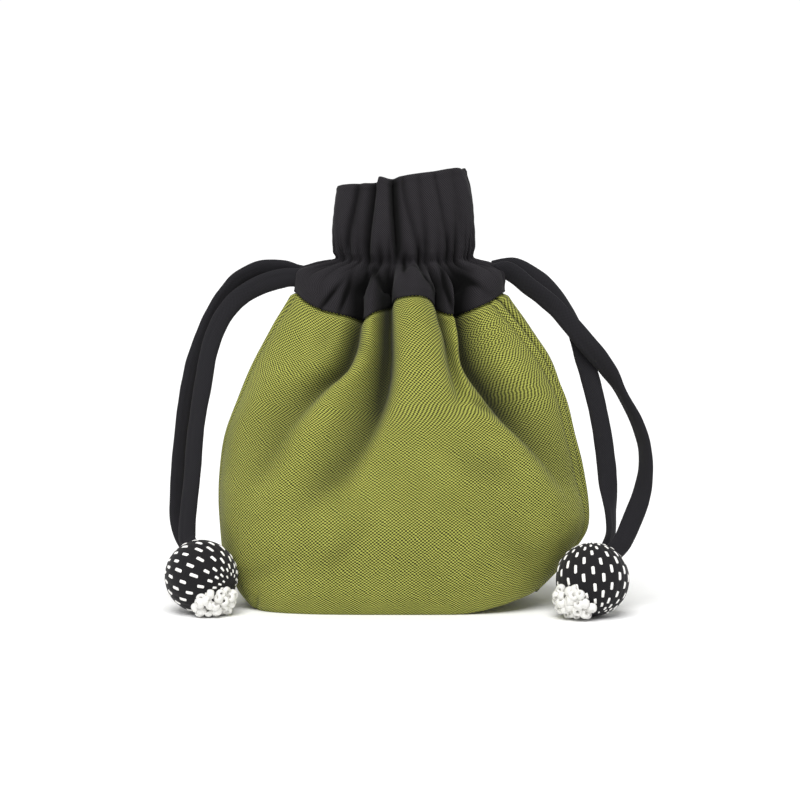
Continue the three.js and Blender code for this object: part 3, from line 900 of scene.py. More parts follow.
    def __post_init__(self) -> None:
        """Works the sections out in metres from the shares, and draws the tucks."""
        rows = self.body_sections()
        rows += self.tunnel_sections(rows[-1]) + self.frill_sections()
        self.sizes = {
            size.name: np.array([getattr(row, size.name) for row in rows]) for size in fields(Section)
        }
        self.levels = self.sizes.pop("up")
        rng = np.random.default_rng(self.tuck_seed)
        turns = (np.arange(self.tucks) + rng.uniform(-0.28, 0.28, self.tucks)) / self.tucks * TAU
        sizes = rng.uniform(0.5, 1.15, self.tucks)
        widths = rng.uniform(0.035, 0.075, self.tucks)
        drops = rng.uniform(6, 17, self.tucks) * MM
        reaches = rng.uniform(5, 15, self.tucks) * MM
        self.tuck_list = [Tuck(*row) for row in zip(turns, sizes, widths, drops, reaches)]

    def body_sections(self) -> list[Section]:
        """Works out the bag's sections.

        Returns:
            The sections, from the bottom to the seam below the neck.
        """
        wide, deep = self.body_width / 2, self.body_depth / 2
        return [
            Section(
                up=up * self.body_height,
                left=left * wide,
                right=right * wide,
                front=front * deep,
                back=back * deep,
                square=square,
                rise=rise * self.side_rise,
            )
            for up, left, right, front, back, square, rise in self.body_rows
        ]

    def tunnel_sections(self, seam: Section) -> list[Section]:
        """Works out the tunnel's sections, which narrow from the bag's seam to the neck at the gathers.

        Args:
            seam: the bag's highest section.

        Returns:
            The sections above it, up to the gathers.
        """
        half_width, half_depth = self.neck_width / 2, self.neck_depth / 2
        return [
            Section(
                up=self.body_height + up * self.tunnel_height,
                left=half_width + (seam.left - half_width) * wide,
                right=half_width + (seam.right - half_width) * wide,
                front=half_depth + (seam.front - half_depth) * deep,
                back=half_depth + (seam.back - half_depth) * deep,
                rise=self.gather_rise + (self.side_rise - self.gather_rise) * rise,
            )
            for up, wide, deep, rise in self.tunnel_rows
        ]

    def frill_sections(self) -> list[Section]:
        """Works out the frill's sections.

        Returns:
            The sections, from above the gathers to the frill's edge.
        """
        wide, deep = self.neck_width / 2, self.neck_depth / 2
        return [
            Section(
                up=self.gather_up + up * self.frill_height,
                left=left * wide,
                right=right * wide,
                front=front * deep,
                back=back * deep,
                rise=self.gather_rise * (1 - up),
                tilt=tilt * self.frill_tilt,
            )
            for up, left, right, front, back, tilt in self.frill_rows
        ]

    @property
    def gather_up(self) -> float:
        """The height of the gathers."""
        return self.body_height + self.tunnel_height

    @property
    def top_up(self) -> float:
        """The height of the frill's edge."""
        return self.gather_up + self.frill_height

    def section(self, up: np.ndarray) -> dict[str, np.ndarray]:
        """The section's sizes at each height."""
        return {name: through(self.levels, sizes, up) for name, sizes in self.sizes.items()}

    def shares(self, up: np.ndarray, turn: np.ndarray) -> tuple[np.ndarray, np.ndarray]:
        """Where a place lies on its section, as shares of its half width and half depth."""
        return superellipse(through(self.levels, self.sizes["square"], up), turn)

    def plain(self, up: np.ndarray, turn: np.ndarray) -> np.ndarray:
        """The cloth without its folds: a superellipse at each height, lifted at its sides.

        Args:
            up: heights up the cloth.
            turn: turns round the pouch.

        Returns:
            The points, in metres.
        """
        size = self.section(up)
        across, along = superellipse(size["square"], turn)
        x = across * np.where(across > 0, size["right"], size["left"])
        y = along * np.where(along > 0, size["back"], size["front"])
        return stack(x, y, up + size["rise"] * across**2 + size["tilt"] * across)

    def plain_normal(self, up: np.ndarray, turn: np.ndarray) -> np.ndarray:
        """The outward normal of the plain cloth: its slope around crossed with its slope upwards.

        Args:
            up: heights up the cloth.
            turn: turns round the pouch.

        Returns:
            The unit normals.
        """
        reach, swing = 3 * MM, 0.01
        above = self.plain(np.minimum(up + reach, self.top_up), turn)
        below = self.plain(np.maximum(up - reach, 0), turn)
        around = self.plain(up, turn + swing) - self.plain(up, turn - swing)
        return unit(np.cross(around, above - below))

    def main_folds(self, up: np.ndarray, across: np.ndarray, along: np.ndarray) -> np.ndarray:
        """How far the bag's folds move the cloth out: a sum of bumps along lines that run down the cloth.

        Args:
            up: heights up the cloth.
            across: shares of the section's half width.
            along: shares of its half depth.

        Returns:
            The way outwards at each place, in metres.
        """
        run = np.minimum(up / self.body_height, 1)
        levels = -np.array(self.fold_ups)
        off_the_sides = rising(0.05, 0.35, np.abs(along))
        below_gathers = falling(0.6, 1.05, (up - self.body_height) / self.tunnel_height)
        above_bottom = rising(0.3, 0.45, run)
        total = np.zeros(np.broadcast(up, across).shape)
        for side, folds in ((along < 0, self.front_folds), (along >= 0, self.back_folds)):
            part = np.zeros_like(total)
            for fold in folds:
                distance = across - through(levels, fold.at, -run)
                wider = fold.spread + (1 - fold.spread) * rising(self.fold_ups[-1], 1, run)
                out = through(levels, fold.out, -run)
                part += out * bump(distance, fold.near * wider, fold.far * wider, fold.power)
            total += np.where(side, part, 0)
        return total * off_the_sides * below_gathers * above_bottom * self.body_depth / 2

    def gathers(self, up: np.ndarray, turn: np.ndarray) -> np.ndarray:
        """How far the tucks move the cloth: creased valleys that run out below and above the gathers.

        Args:
            up: heights up the cloth.
            turn: turns round the pouch.

        Returns:
            The way outwards at each place, in metres.
        """
        below, above = self.gather_up - up, up - self.gather_up
        crease = 1.5
        total = np.zeros(np.broadcast(up, turn).shape)
        for tuck in self.tuck_list:
            distance = (turn - tuck.turn + np.pi) % TAU - np.pi
            fade = hill(np.where(below > 0, below / tuck.drop, above / tuck.reach), 1)
            width = tuck.width * (1 + 0.5 * np.clip(below / tuck.drop, 0, 2))
            total += tuck.size * fade * bump(distance, width, width, crease)
        return -self.tuck_depth * total

    def pleats(self, up: np.ndarray, across: np.ndarray, along: np.ndarray) -> np.ndarray:
        """How far the frill's pleats move the cloth: valleys along straight lines from gathers to edge.

        Args:
            up: heights up the cloth.
            across: shares of the section's half width.
            along: shares of its half depth.

        Returns:
            The way outwards at each place, in metres.
        """
        run = (up - self.gather_up) / self.frill_height
        crease = 1.7
        total = np.zeros(np.broadcast(up, across).shape)
        for side, pleats in ((along < 0, self.front_pleats), (along >= 0, self.back_pleats)):
            part = np.zeros_like(total)
            for pleat in pleats:
                at = pleat.low + (pleat.top - pleat.low) * rising(0, 1, run)
                part -= pleat.deep * bump(across - at, pleat.near, pleat.far, crease)
            total += np.where(side, part, 0)
        above_gathers = rising(-0.15, 0.25, run)
        off_the_sides = rising(0.05, 0.4, np.abs(along))
        return total * above_gathers * off_the_sides * self.neck_depth / 2

    def local_dents(self, points: np.ndarray, along: np.ndarray) -> np.ndarray:
        """How far the small dents and bulges move the front: slanted long bumps around their middles.

        Args:
            points: points of the plain cloth.
            along: shares of the section's half depth.

        Returns:
            The way outwards at each place, in metres.
        """
        total = np.zeros(points.shape[:-1])
        for dent in self.dents:
            angle = np.radians(dent.slant)
            right, up = points[..., 0] - dent.x * MM, points[..., 2] - dent.z * MM
            lengthwise = (right * np.cos(angle) + up * np.sin(angle)) / (dent.along * MM)
            sideways = (-right * np.sin(angle) + up * np.cos(angle)) / (dent.across * MM)
            total += dent.out * MM * np.exp(-(lengthwise**2) - sideways**2)
        return np.where(along < 0, total, 0)

    def drawn_up(self, up: np.ndarray, across: np.ndarray, along: np.ndarray) -> np.ndarray:
        """How far the gathers draw the cloth up around the seam between the bag and the neck.

        Args:
            up: heights up the cloth.
            across: shares of the section's half width.
            along: shares of its half depth.

        Returns:
            The way upwards at each place, in metres.
        """
        front, back = (
            through(*np.array(lifts).T, across) for lifts in (self.seam_lifts, self.seam_lifts_back)
        )
        lift = np.where(along < 0, front, back) * MM
        below = rising(0.6 * self.body_height, 0.98 * self.body_height, up)
        above = falling(self.body_height + 1 * MM, self.gather_up - 2 * MM, up)
        off_the_sides = rising(0.0, 0.35, np.abs(along))
        return lift * below * above * off_the_sides

    def fold_shade(self, up: np.ndarray, turn: np.ndarray) -> np.ndarray:
        """The painted shade of the folds: each kind's depth over the depth where its painted shade is
        fullest.

        Args:
            up: heights up the cloth.
            turn: turns round the pouch.

        Returns:
            The painted shade at each place, from 0 on the open cloth to 0.9.
        """
        across, along = self.shares(up, turn)
        wide = -self.main_folds(up, across, along) / self.dark_fold
        fine = -(self.gathers(up, turn) + self.pleats(up, across, along)) / self.dark_tuck
        fine = fine - self.local_dents(self.plain(up, turn), along) / self.dark_dent
        # painted shade: the colour is darkened in the valleys of folds, tucks, pleats and dents, where shade
        # falls
        shade = 0.9 * np.clip(wide, 0, 1) ** 1.1 + 0.8 * np.clip(fine, 0, 1) ** 1.3
        return np.clip(shade, 0, self.darkest)

    def point(self, up: np.ndarray, turn: np.ndarray, lift: np.ndarray | float = 0.0) -> np.ndarray:
        """A point of the real cloth: the plain cloth moved along its normal by the lift and the folds.

        Args:
            up: heights up the cloth.
            turn: turns round the pouch.
            lift: how far outside the cloth the point is, in metres.

        Returns:
            The points, in metres.
        """
        plain = self.plain(up, turn)
        across, along = self.shares(up, turn)
        out = self.main_folds(up, across, along) + self.gathers(up, turn) + self.pleats(up, across, along)
        out = out + self.local_dents(plain, along)
        points = plain + self.plain_normal(up, turn) * (out + lift)[..., None]
        points[..., 2] += self.drawn_up(up, across, along)
        return points


# The bag


@dataclass
class Bag:
    """The two green panels, sewn together up the sides and across the bottom."""

    form: ClothForm
    wall: float = 1.2 * MM
    seam_left: float = 0.0
    seam_right: float = -9.5 * MM
    seam_groove: float = 1.1 * MM
    seam_ridge: float = 0.7 * MM
    seam_allowance: float = 0.45 * MM
    tuck_in: float = 1.4 * MM
    tuck_under: float = 0.4 * MM
    columns: int = 220
    seam_columns: int = 20
    seam_share: float = 0.035
    bottom_rows: int = 24
    foot_rows: int = 40
    foot_share: float = 0.12
    wall_rows: int = 170
    top_share: float = 1.012
    unevenness: float = 0.35 * MM
    uneven_size: float = 26 * MM
    uneven_seed: int = 5

    def seam_turn(self, up: np.ndarray, side: Side) -> tuple[np.ndarray, np.ndarray]:
        """The turns where a panel starts and ends: where the section reaches the seam's depth.

        Args:
            up: heights up the cloth.
            side: which panel it is.

        Returns:
            The turns at its start and at its end.
        """
        front = self.form.section(up)["front"]
        left = np.pi - np.arcsin(self.seam_left / front)
        right = np.arcsin(self.seam_right / front)
        if side is Side.FRONT:
            return left, right + TAU
        return right, left

    def bottom_lift(self, x: np.ndarray) -> np.ndarray:
        """How far the bottom's right end stands off the table."""
        half = self.form.body_width / 2
        return self.form.corner_lift * rising(0.24 * half, 0.97 * half, x)

    def columns_across(self) -> np.ndarray:
        """Spreads the columns over a panel, closer together at its side seams.

        Returns:
            Each column's share of the way from one side seam to the other.
        """
        border, dense = self.seam_share, self.seam_columns
        first = np.linspace(0, border, dense, endpoint=False)
        middle = np.linspace(border, 1 - border, self.columns - 2 * dense, endpoint=False)
        last = np.linspace(1 - border, 1, dense)
        return np.concatenate([first, middle, last])

    def rows_up(self) -> np.ndarray:
        """Spreads the wall's rows, closer together at the foot. The last ones lie behind the neck's lip.

        Returns:
            Each row's height up the cloth.
        """
        foot = np.linspace(0, self.foot_share, self.foot_rows)
        above = np.linspace(self.foot_share, self.top_share, self.wall_rows - self.foot_rows + 1)[1:]
        return np.concatenate([foot, above]) * self.form.body_height

    def bottom(self, edge: np.ndarray) -> np.ndarray:
        """A panel's half of the bottom: straight lines from the bottom's seam to its edge.

        Args:
            edge: the wall's lowest row of points.

        Returns:
            Rows of points, from the seam to just before the edge.
        """
        first, last = edge[0], edge[-1]
        part = np.clip((edge[:, 0] - first[0]) / (last[0] - first[0]), 0, 1)
        seam = first + (last - first) * part[:, None]
        across = np.linspace(0, 1, self.bottom_rows, endpoint=False)[:, None, None]
        rows = seam + (edge - seam) * across
        rows[..., 2] = 0
        return rows

    def surface(self, side: Side) -> tuple[np.ndarray, np.ndarray]:
        """The outside of a panel: rows across its half of the bottom, then rows up its wall.

        Each row of the wall is a section of the cloth from one side seam to the other. The cloth's
        unevenness and the seams' relief move it along its normal, the right end is lifted off the table,
        and the top edge is tucked in behind the neck's lip.

        Args:
            side: which panel it is.

        Returns:
            The points, and the painted shade of each one, from its fold and from the seam's groove.
        """
        form = self.form
        up = self.rows_up()[:, None]
        start, end = self.seam_turn(up, side)
        turn = start + (end - start) * self.columns_across()
        wall = form.point(up, turn)
        bottom = self.bottom(wall[0])
        level = np.zeros(bottom.shape)
        points = np.concatenate([bottom, wall])
        normal = grid_normals(points)

        height = points[..., 2]
        rough = ripple(points[..., 0], height + points[..., 1], self.uneven_seed, self.uneven_size)
        rough = rough * rising(2 * MM, 14 * MM, height) * falling(0.93, 1.0, height / form.body_height)
        points = points + normal * (self.unevenness * rough)[..., None]
        relief = self.seam_relief(points)
        points = points + normal * relief[..., None]

        foot = falling(0, 0.36 * form.body_height, points[..., 2])
        points[..., 2] = np.maximum(points[..., 2], 0) + foot * self.bottom_lift(points[..., 0])
        inwards = np.concatenate([level, form.plain_normal(up, turn)])
        top = np.concatenate([level[:, :1, 0], rising(0.985, 1.0, up / form.body_height)])
        points = points - (self.tuck_in * inwards + self.tuck_under * normal) * top[..., None]

        # painted shade: the folds' painted shade, and painted shade along the seams' groove as deep as the
        # groove is
        shade = np.concatenate([level[..., 0], form.fold_shade(up, turn)])
        return points, np.maximum(shade, np.clip(-0.9 * relief / self.seam_groove, 0, 0.85))

    def seam_relief(self, points: np.ndarray) -> np.ndarray:
        """The side seams' relief: a groove on the seam, a soft ridge beside it and the allowance's edge.

        Args:
            points: the panel's points.

        Returns:
            The way outwards at each point: hills by its distance from the panel's nearest side edge.
        """
        length = np.linalg.norm(np.diff(points, axis=1), axis=2)
        from_left = np.concatenate([np.zeros((len(points), 1)), np.cumsum(length, axis=1)], axis=1)
        distance = np.minimum(from_left, from_left[:, -1:] - from_left)
        groove = self.seam_groove * hill(distance, 0.7 * MM)
        ridge = self.seam_ridge * hill(distance - 2.6 * MM, 1.3 * MM)
        allowance = self.seam_allowance * hill(distance - 5.4 * MM, 0.7 * MM)
        return ridge - allowance - groove

    def panel(self, side: Side, finish: Finish) -> bpy.types.Object:
        """One panel as a closed shell: its outside, its inside and the rim that joins them.

        Args:
            side: which panel it is.
            finish: its cloth.

        Returns:
            The finished piece.
        """
        outside, shade = self.surface(side)
        inside = outside - grid_normals(outside) * self.wall
        inside[..., 2] = np.maximum(inside[..., 2], 0)
        rows, columns = outside.shape[:2]
        outer = grid_quads(rows, columns)
        inner = outer[:, ::-1] + rows * columns
        faces = np.concatenate([outer, inner, self.rim(rows, columns)])
        uv = arc_uv(outside, columns // 2)
        points, uv, shade = np.stack([outside, inside]), np.stack([uv, uv]), np.stack([shade, shade])
        obj = new_mesh(f"{side.value}_panel_cloth", points, faces, uv, shade)
        dress(obj, finish, "green_cloth", f"{side.value}_panel")
        return obj

    @staticmethod
    def rim(rows: int, columns: int) -> np.ndarray:
        """Quads that join the border of the outside grid to that of the inside grid.

        Args:
            rows: rows of each grid.
            columns: columns of each grid.

        Returns:
            An array of quads, once round the border.
        """
        grid = np.arange(rows * columns).reshape(rows, columns)
        border = np.concatenate([grid[0, :-1], grid[:-1, -1], grid[-1, :0:-1], grid[:0:-1, 0]])
        after = np.roll(border, -1)
        inner = rows * columns
        return np.stack([after, border, border + inner, after + inner], axis=-1)


# The neck


@dataclass
class Neck:
    """The black band: the tunnel for the cords below the gathers and the frill above them."""

    form: ClothForm
    hem: float = 1.7 * MM
    hem_piping: float = 0.3 * MM
    wall: float = 1.1 * MM
    tunnel_room: float = 3.6 * MM
    columns: int = 600
    groove: float = 0.9 * MM
    grain: float = 0.22 * MM
    grain_size: float = 9 * MM
    grain_seed: int = 3
    ruffles: int = 58
    lip_stitches: int = 150
    # painted shade: how much stronger the folds' painted shade is on the neck, the painted shade of its
    # creases, the crease depth where that is fullest, and the most painted shade there is
    shade_gain: float = 1.7
    crease_shade: float = 0.7
    dark_crease: float = 1.1 * MM
    darkest: float = 0.97
    cord_half: float = 2.4 * MM
    cord_thin: float = 0.9 * MM
    rim_front: tuple[tuple[float, float], ...] = (
        # place across the front, from -1 to 1, and how far the edge stands above the plain edge
        (-1.0, 0.0), (-0.93, 0.2), (-0.62, -0.4), (-0.42, -0.6), (-0.38, 1.4), (-0.2, -0.2), (-0.05, 0.4),
        (0.2, 0.6), (0.5, 0.5), (0.8, 0.8), (0.92, 0.4), (1.0, -1.2),
    )

    def rim_height(self, across: np.ndarray, along: np.ndarray) -> np.ndarray:
        """How far the frill's edge stands above its plain height: uneven in front, and lower at the back.

        Args:
            across: shares of the section's half width.
            along: shares of its half depth.

        Returns:
            The way upwards at each place, in metres.
        """
        places, heights = np.array(self.rim_front).T
        front = through(places, heights * MM, across)
        back = -3.2 * MM * rising(0.1, 0.7, along) + 0.3 * MM * np.sin(9 * across)
        return np.where(along < 0, front, back)

    def turns(self) -> np.ndarray:
        """The turns of the band's columns, as one row."""
        return np.linspace(0, TAU, self.columns, endpoint=False)[None, :]

    def rows_up(self) -> np.ndarray:
        """Spreads the outer face's rows, closer together at the gathers.

        Returns:
            Each row's height up the cloth, as one column.
        """
        below, above = self.form.gather_up - 3 * MM, self.form.gather_up + 4 * MM
        low = np.linspace(self.form.body_height, below, 26)
        middle = np.linspace(below, above, 16)[1:]
        high = np.linspace(above, self.form.top_up, 40)[1:]
        return np.concatenate([low, middle, high])[:, None]

    def outside(self, up: np.ndarray, turn: np.ndarray) -> np.ndarray:
        """The band's outer face, with its gather groove, its grain and its uneven edge.

        Args:
            up: heights up the cloth.
            turn: turns round the pouch.

        Returns:
            The points, in metres.
        """
        form = self.form
        ruffle = 0.6 + 0.4 * np.sin(turn * self.ruffles)
        groove = self.groove * ruffle * hill(up - form.gather_up, 0.8 * MM)
        grain = self.grain * ripple(turn * 40 * MM, up, self.grain_seed, self.grain_size)
        points = form.point(up, turn, grain - groove)
        stretch = rising(0.3, 1.0, (up - form.gather_up) / form.frill_height)
        points[..., 2] += stretch * self.rim_height(*form.shares(up, turn))
        return points

    def outer_face(self, up: np.ndarray, turn: np.ndarray) -> np.ndarray:
        """The outer face with its stitched lip at the bag's seam and the piping of its hem.

        Args:
            up: heights up the cloth.
            turn: turns round the pouch.

        Returns:
            The points, in metres.
        """
        form = self.form
        outer = self.outside(up, turn)
        stitches = 0.5 + 0.5 * np.cos(turn * self.lip_stitches)
        lip = (0.2 * stitches - 0.4) * MM * hill(up - form.body_height, 0.8 * MM)
        piping = self.hem_piping * hill(form.top_up - up - 0.9 * MM, 0.6 * MM)
        return outer + grid_normals(outer, ring=True) * (lip + piping)[..., None]

    def inner_face(self, outer: np.ndarray, up: np.ndarray, turn: np.ndarray) -> np.ndarray:
        """The inner face, from the edge down: the hem's thickness inside the frill, the tunnel's below.

        Args:
            outer: the outer face's points.
            up: their heights up the cloth.
            turn: their turns round the pouch.

        Returns:
            A point for every second row of the outer face.
        """
        form = self.form
        up = up[::-2]
        in_tunnel = falling(form.gather_up - 4 * MM, form.gather_up - 0.5 * MM, up)
        above_seam = rising(form.body_height - 2 * MM, form.body_height + 3 * MM, up)
        thickness = 2 * self.wall + self.tunnel_room
        depth = (self.hem + (thickness - self.hem) * in_tunnel) * above_seam + 0.2 * self.hem
        return outer[::-2] - form.plain_normal(up, turn) * depth[..., None]

    def hem_edge(self, outer: np.ndarray, inner: np.ndarray) -> np.ndarray:
        """The hem's round edge: half a turn from the outer face's last row to the inner face's first.

        Args:
            outer: the outer face's points.
            inner: the inner face's points.

        Returns:
            The rows of points between the two faces.
        """
        arc = np.linspace(0, np.pi, 7)[1:-1, None, None]
        middle, half = (outer[-1] + inner[0]) / 2, (outer[-1] - inner[0]) / 2
        return middle + half * np.cos(arc) + np.array([0, 0, self.hem / 2]) * np.sin(arc)

    def band(self, finish: Finish) -> bpy.types.Object:
        """The band as a closed surface, up its outside, over the hem and down its inside, with a hollow.

        Args:
            finish: its cloth.

        Returns:
            The finished piece.
        """
        form = self.form
        turn = self.turns()
        up = self.rows_up()
        outer = self.outer_face(up, turn)
        inner = self.inner_face(outer, up, turn)
        shell = np.concatenate([outer, self.hem_edge(outer, inner), inner])
        hollow = self.tunnel()
        points = np.concatenate([shell, hollow])
        shell_faces = grid_quads(len(shell), self.columns, ring=True, loop=True)
        hollow_faces = grid_quads(len(hollow), self.columns, ring=True, loop=True) + len(shell) * self.columns
        uv = arc_uv(points, self.columns * 3 // 4, ring=True)
        # painted shade: the folds' painted shade, strengthened, and painted shade in the tunnel's creases
        dents = form.local_dents(form.plain(up, turn), form.shares(up, turn)[1])
        creases = self.crease_shade * np.clip(-dents / self.dark_crease, 0, 1)
        shade = np.zeros(points.shape[:2])
        shade[: len(up)] = np.clip(self.shade_gain * form.fold_shade(up, turn) + creases, 0, self.darkest)
        obj = new_mesh("neck_band_cloth", points, np.concatenate([shell_faces, hollow_faces]), uv, shade)
        dress(obj, finish, "black_cloth", "neck_band", "neck_frill")
        return obj

    def inwards(self, up: np.ndarray, turn: np.ndarray, depth: np.ndarray | float) -> np.ndarray:
        """Points at a depth inside the band's outer face, measured along the plain cloth's normal."""
        return self.outside(up, turn) - self.form.plain_normal(up, turn) * np.asarray(depth)[..., None]

    def tunnel(self) -> np.ndarray:
        """The hollow that the cords run through, from 0.16 to 0.84 of the tunnel's height.

        Returns:
            Its rings, up its inner wall and back down its outer wall.
        """
        form = self.form
        up = (form.body_height + np.linspace(0.16, 0.84, 8) * form.tunnel_height)[:, None]
        outer_wall = self.inwards(up, self.turns(), self.wall)
        inner_wall = self.inwards(up, self.turns(), self.wall + self.tunnel_room)
        return np.concatenate([inner_wall, outer_wall[::-1]])

    def hidden_cord(self, hand: Hand, finish: Finish) -> bpy.types.Object:
        """The stretch of a drawcord inside the tunnel: a flat oval that goes once round, mouth to mouth.

        Args:
            hand: the side where its ends leave the tunnel.
            finish: its cloth.

        Returns:
            The finished piece.
        """
        form = self.form
        lane, mouth = (0.34, np.pi) if hand is Hand.LEFT else (0.665, 0.0)
        mouth_gap = 0.2
        turn = mouth + np.linspace(mouth_gap, TAU - mouth_gap, 400)[None, :]
        angle = np.linspace(0, TAU, 16, endpoint=False)[:, None]
        beside = self.cord_half * np.cos(angle)
        depth = self.wall + self.tunnel_room / 2 - self.cord_thin * np.sin(angle)
        points = self.inwards(form.body_height + lane * form.tunnel_height + beside, turn, depth)
        rows, columns = points.shape[:2]
        starts = np.arange(rows) * columns
        faces = grid_quads(rows, columns, loop=True)[:, ::-1].tolist()
        faces += [starts.tolist(), (starts + columns - 1)[::-1].tolist()]
        uv = stack(turn * 35 * MM, beside)
        obj = new_mesh(f"drawcord_{hand.value}_in_tunnel_cloth", points, faces, uv)
        dress(obj, finish, "cord_cloth", f"drawcord_{hand.value}_in_tunnel")
        return obj


# The cords


@dataclass(frozen=True)
class CordRoute:
    """A free cord end: its listed centre points in millimetres, and its twist in degrees along it.

    Each twist is (share of the length, degrees), where 0 turns the cord's flat side to the front.
    """

    hand: Hand
    side: Side
    points: tuple[tuple[float, float, float], ...]
    twist: tuple[tuple[float, float], ...]

    @property
    def name(self) -> str:
        """The cord's name."""
        return f"cord_{self.hand.value}_{self.side.value}"

    @property
    def path(self) -> np.ndarray:
        """Its points in metres."""
        return np.array(self.points) * MM


@dataclass
class Cord:
    """A flat tube of black cloth that follows a route."""

    route: CordRoute
    width: float = 8.0 * MM
    thickness: float = 3.0 * MM
    crease: float = 0.28 * MM
    stations: int = 260
    sides: int = 40
    cap_height: float = 0.5 * MM
    cap_rings: tuple[tuple[float, float], ...] = (
        # share of the tube's size, and share of the cap's height
        (0.75, 0.7),
        (0.35, 1.0),
        (0.02, 1.0),
    )

    def centreline(self) -> np.ndarray:
        """The route as a smooth line: a cubic curve through its points, at even steps of chord length.

        One more point inside the tunnel comes first, 1 mm lower than the route's own first point.

        Returns:
            The line's points, in metres.
        """
        points = self.route.path
        inward = points[0] + (points[0] - points[1]) * [1.0, 0.0, 0.0] - [0.0, 0.0, 1 * MM]
        points = np.concatenate([[inward], points])
        places = np.concatenate([[0.0], np.cumsum(np.linalg.norm(np.diff(points, axis=0), axis=1))])
        return through(places, points, np.linspace(0, places[-1], self.stations))

    def rings(self) -> tuple[np.ndarray, np.ndarray]:
        """The centreline and the tube's rings.

        Each ring is a flattened oval in the plane across the line, with one soft crease along the tube.
        Its thin direction is the part of the depth axis that is square to the line, turned by the twist.

        Returns:
            The line's points, and a ring of points for each of them.
        """
        line = self.centreline()
        tangent = unit(np.gradient(line, axis=0))
        depth = np.array([0.0, 1.0, 0.0])
        thin = unit(depth - tangent * (tangent @ depth)[:, None])
        wide = np.cross(tangent, thin)
        share = np.linspace(0, 1, self.stations)
        twist = np.radians(through(*np.array(self.route.twist).T, share))[:, None]
        thin, wide = thin * np.cos(twist) + wide * np.sin(twist), wide * np.cos(twist) - thin * np.sin(twist)

        angle = np.linspace(0, TAU, self.sides, endpoint=False)[None, :]
        cosine, sine = np.cos(angle), np.sin(angle)
        along = (share * length_of(line))[:, None]
        seed = sum(map(ord, self.route.name))
        uneven = ripple(along, angle * 3 * MM, seed, 12 * MM)
        swell = 1 + 0.05 * ripple(along, 0.0, seed + 1, 30 * MM)
        crease_place, crease_width = -0.25, 0.16
        crease = self.crease * hill(cosine - crease_place, crease_width)
        crease = crease * (0.6 + 0.4 * ripple(along, 0.0, seed + 2, 25 * MM))
        half_wide = self.width / 2 * swell + 0.12 * MM * uneven
        half_thin = self.thickness / 2 * (1 - 0.25 * np.abs(cosine) ** 3) - crease + 0.1 * MM * uneven
        x = half_wide * np.sign(cosine) * np.abs(cosine) ** 0.9
        y = half_thin * np.sign(sine) * np.abs(sine) ** 0.8
        return line, line[:, None] + wide[:, None] * x[..., None] + thin[:, None] * y[..., None]

    def cap(self, ring: np.ndarray, centre: np.ndarray, neighbour: np.ndarray) -> np.ndarray:
        """The rings that round off an end: the last ring shrunk and pushed out of the tube.

        Args:
            ring: the tube's last ring.
            centre: its middle.
            neighbour: the next middle inside the tube.

        Returns:
            The rings, outwards.
        """
        push = unit(centre - neighbour) * self.cap_height
        return np.stack([centre + (ring - centre) * size + push * out for size, out in self.cap_rings])

    def make(self, finish: Finish) -> bpy.types.Object:
        """The cord as a closed tube with rounded ends.

        Args:
            finish: its cloth.

        Returns:
            The finished piece.
        """
        line, rings = self.rings()
        first, last = self.cap(rings[0], line[0], line[1]), self.cap(rings[-1], line[-1], line[-2])
        rings = np.concatenate([first[::-1], rings, last])
        name = self.route.name
        faces = capped_tube(len(rings), self.sides)
        obj = new_mesh(f"{name}_cloth", rings, faces, arc_uv(rings, 0, ring=True))
        dress(obj, finish, "cord_cloth", name)
        path = self.route.path
        tuple(path[0])
        round(length_of(line), 3)
        return obj


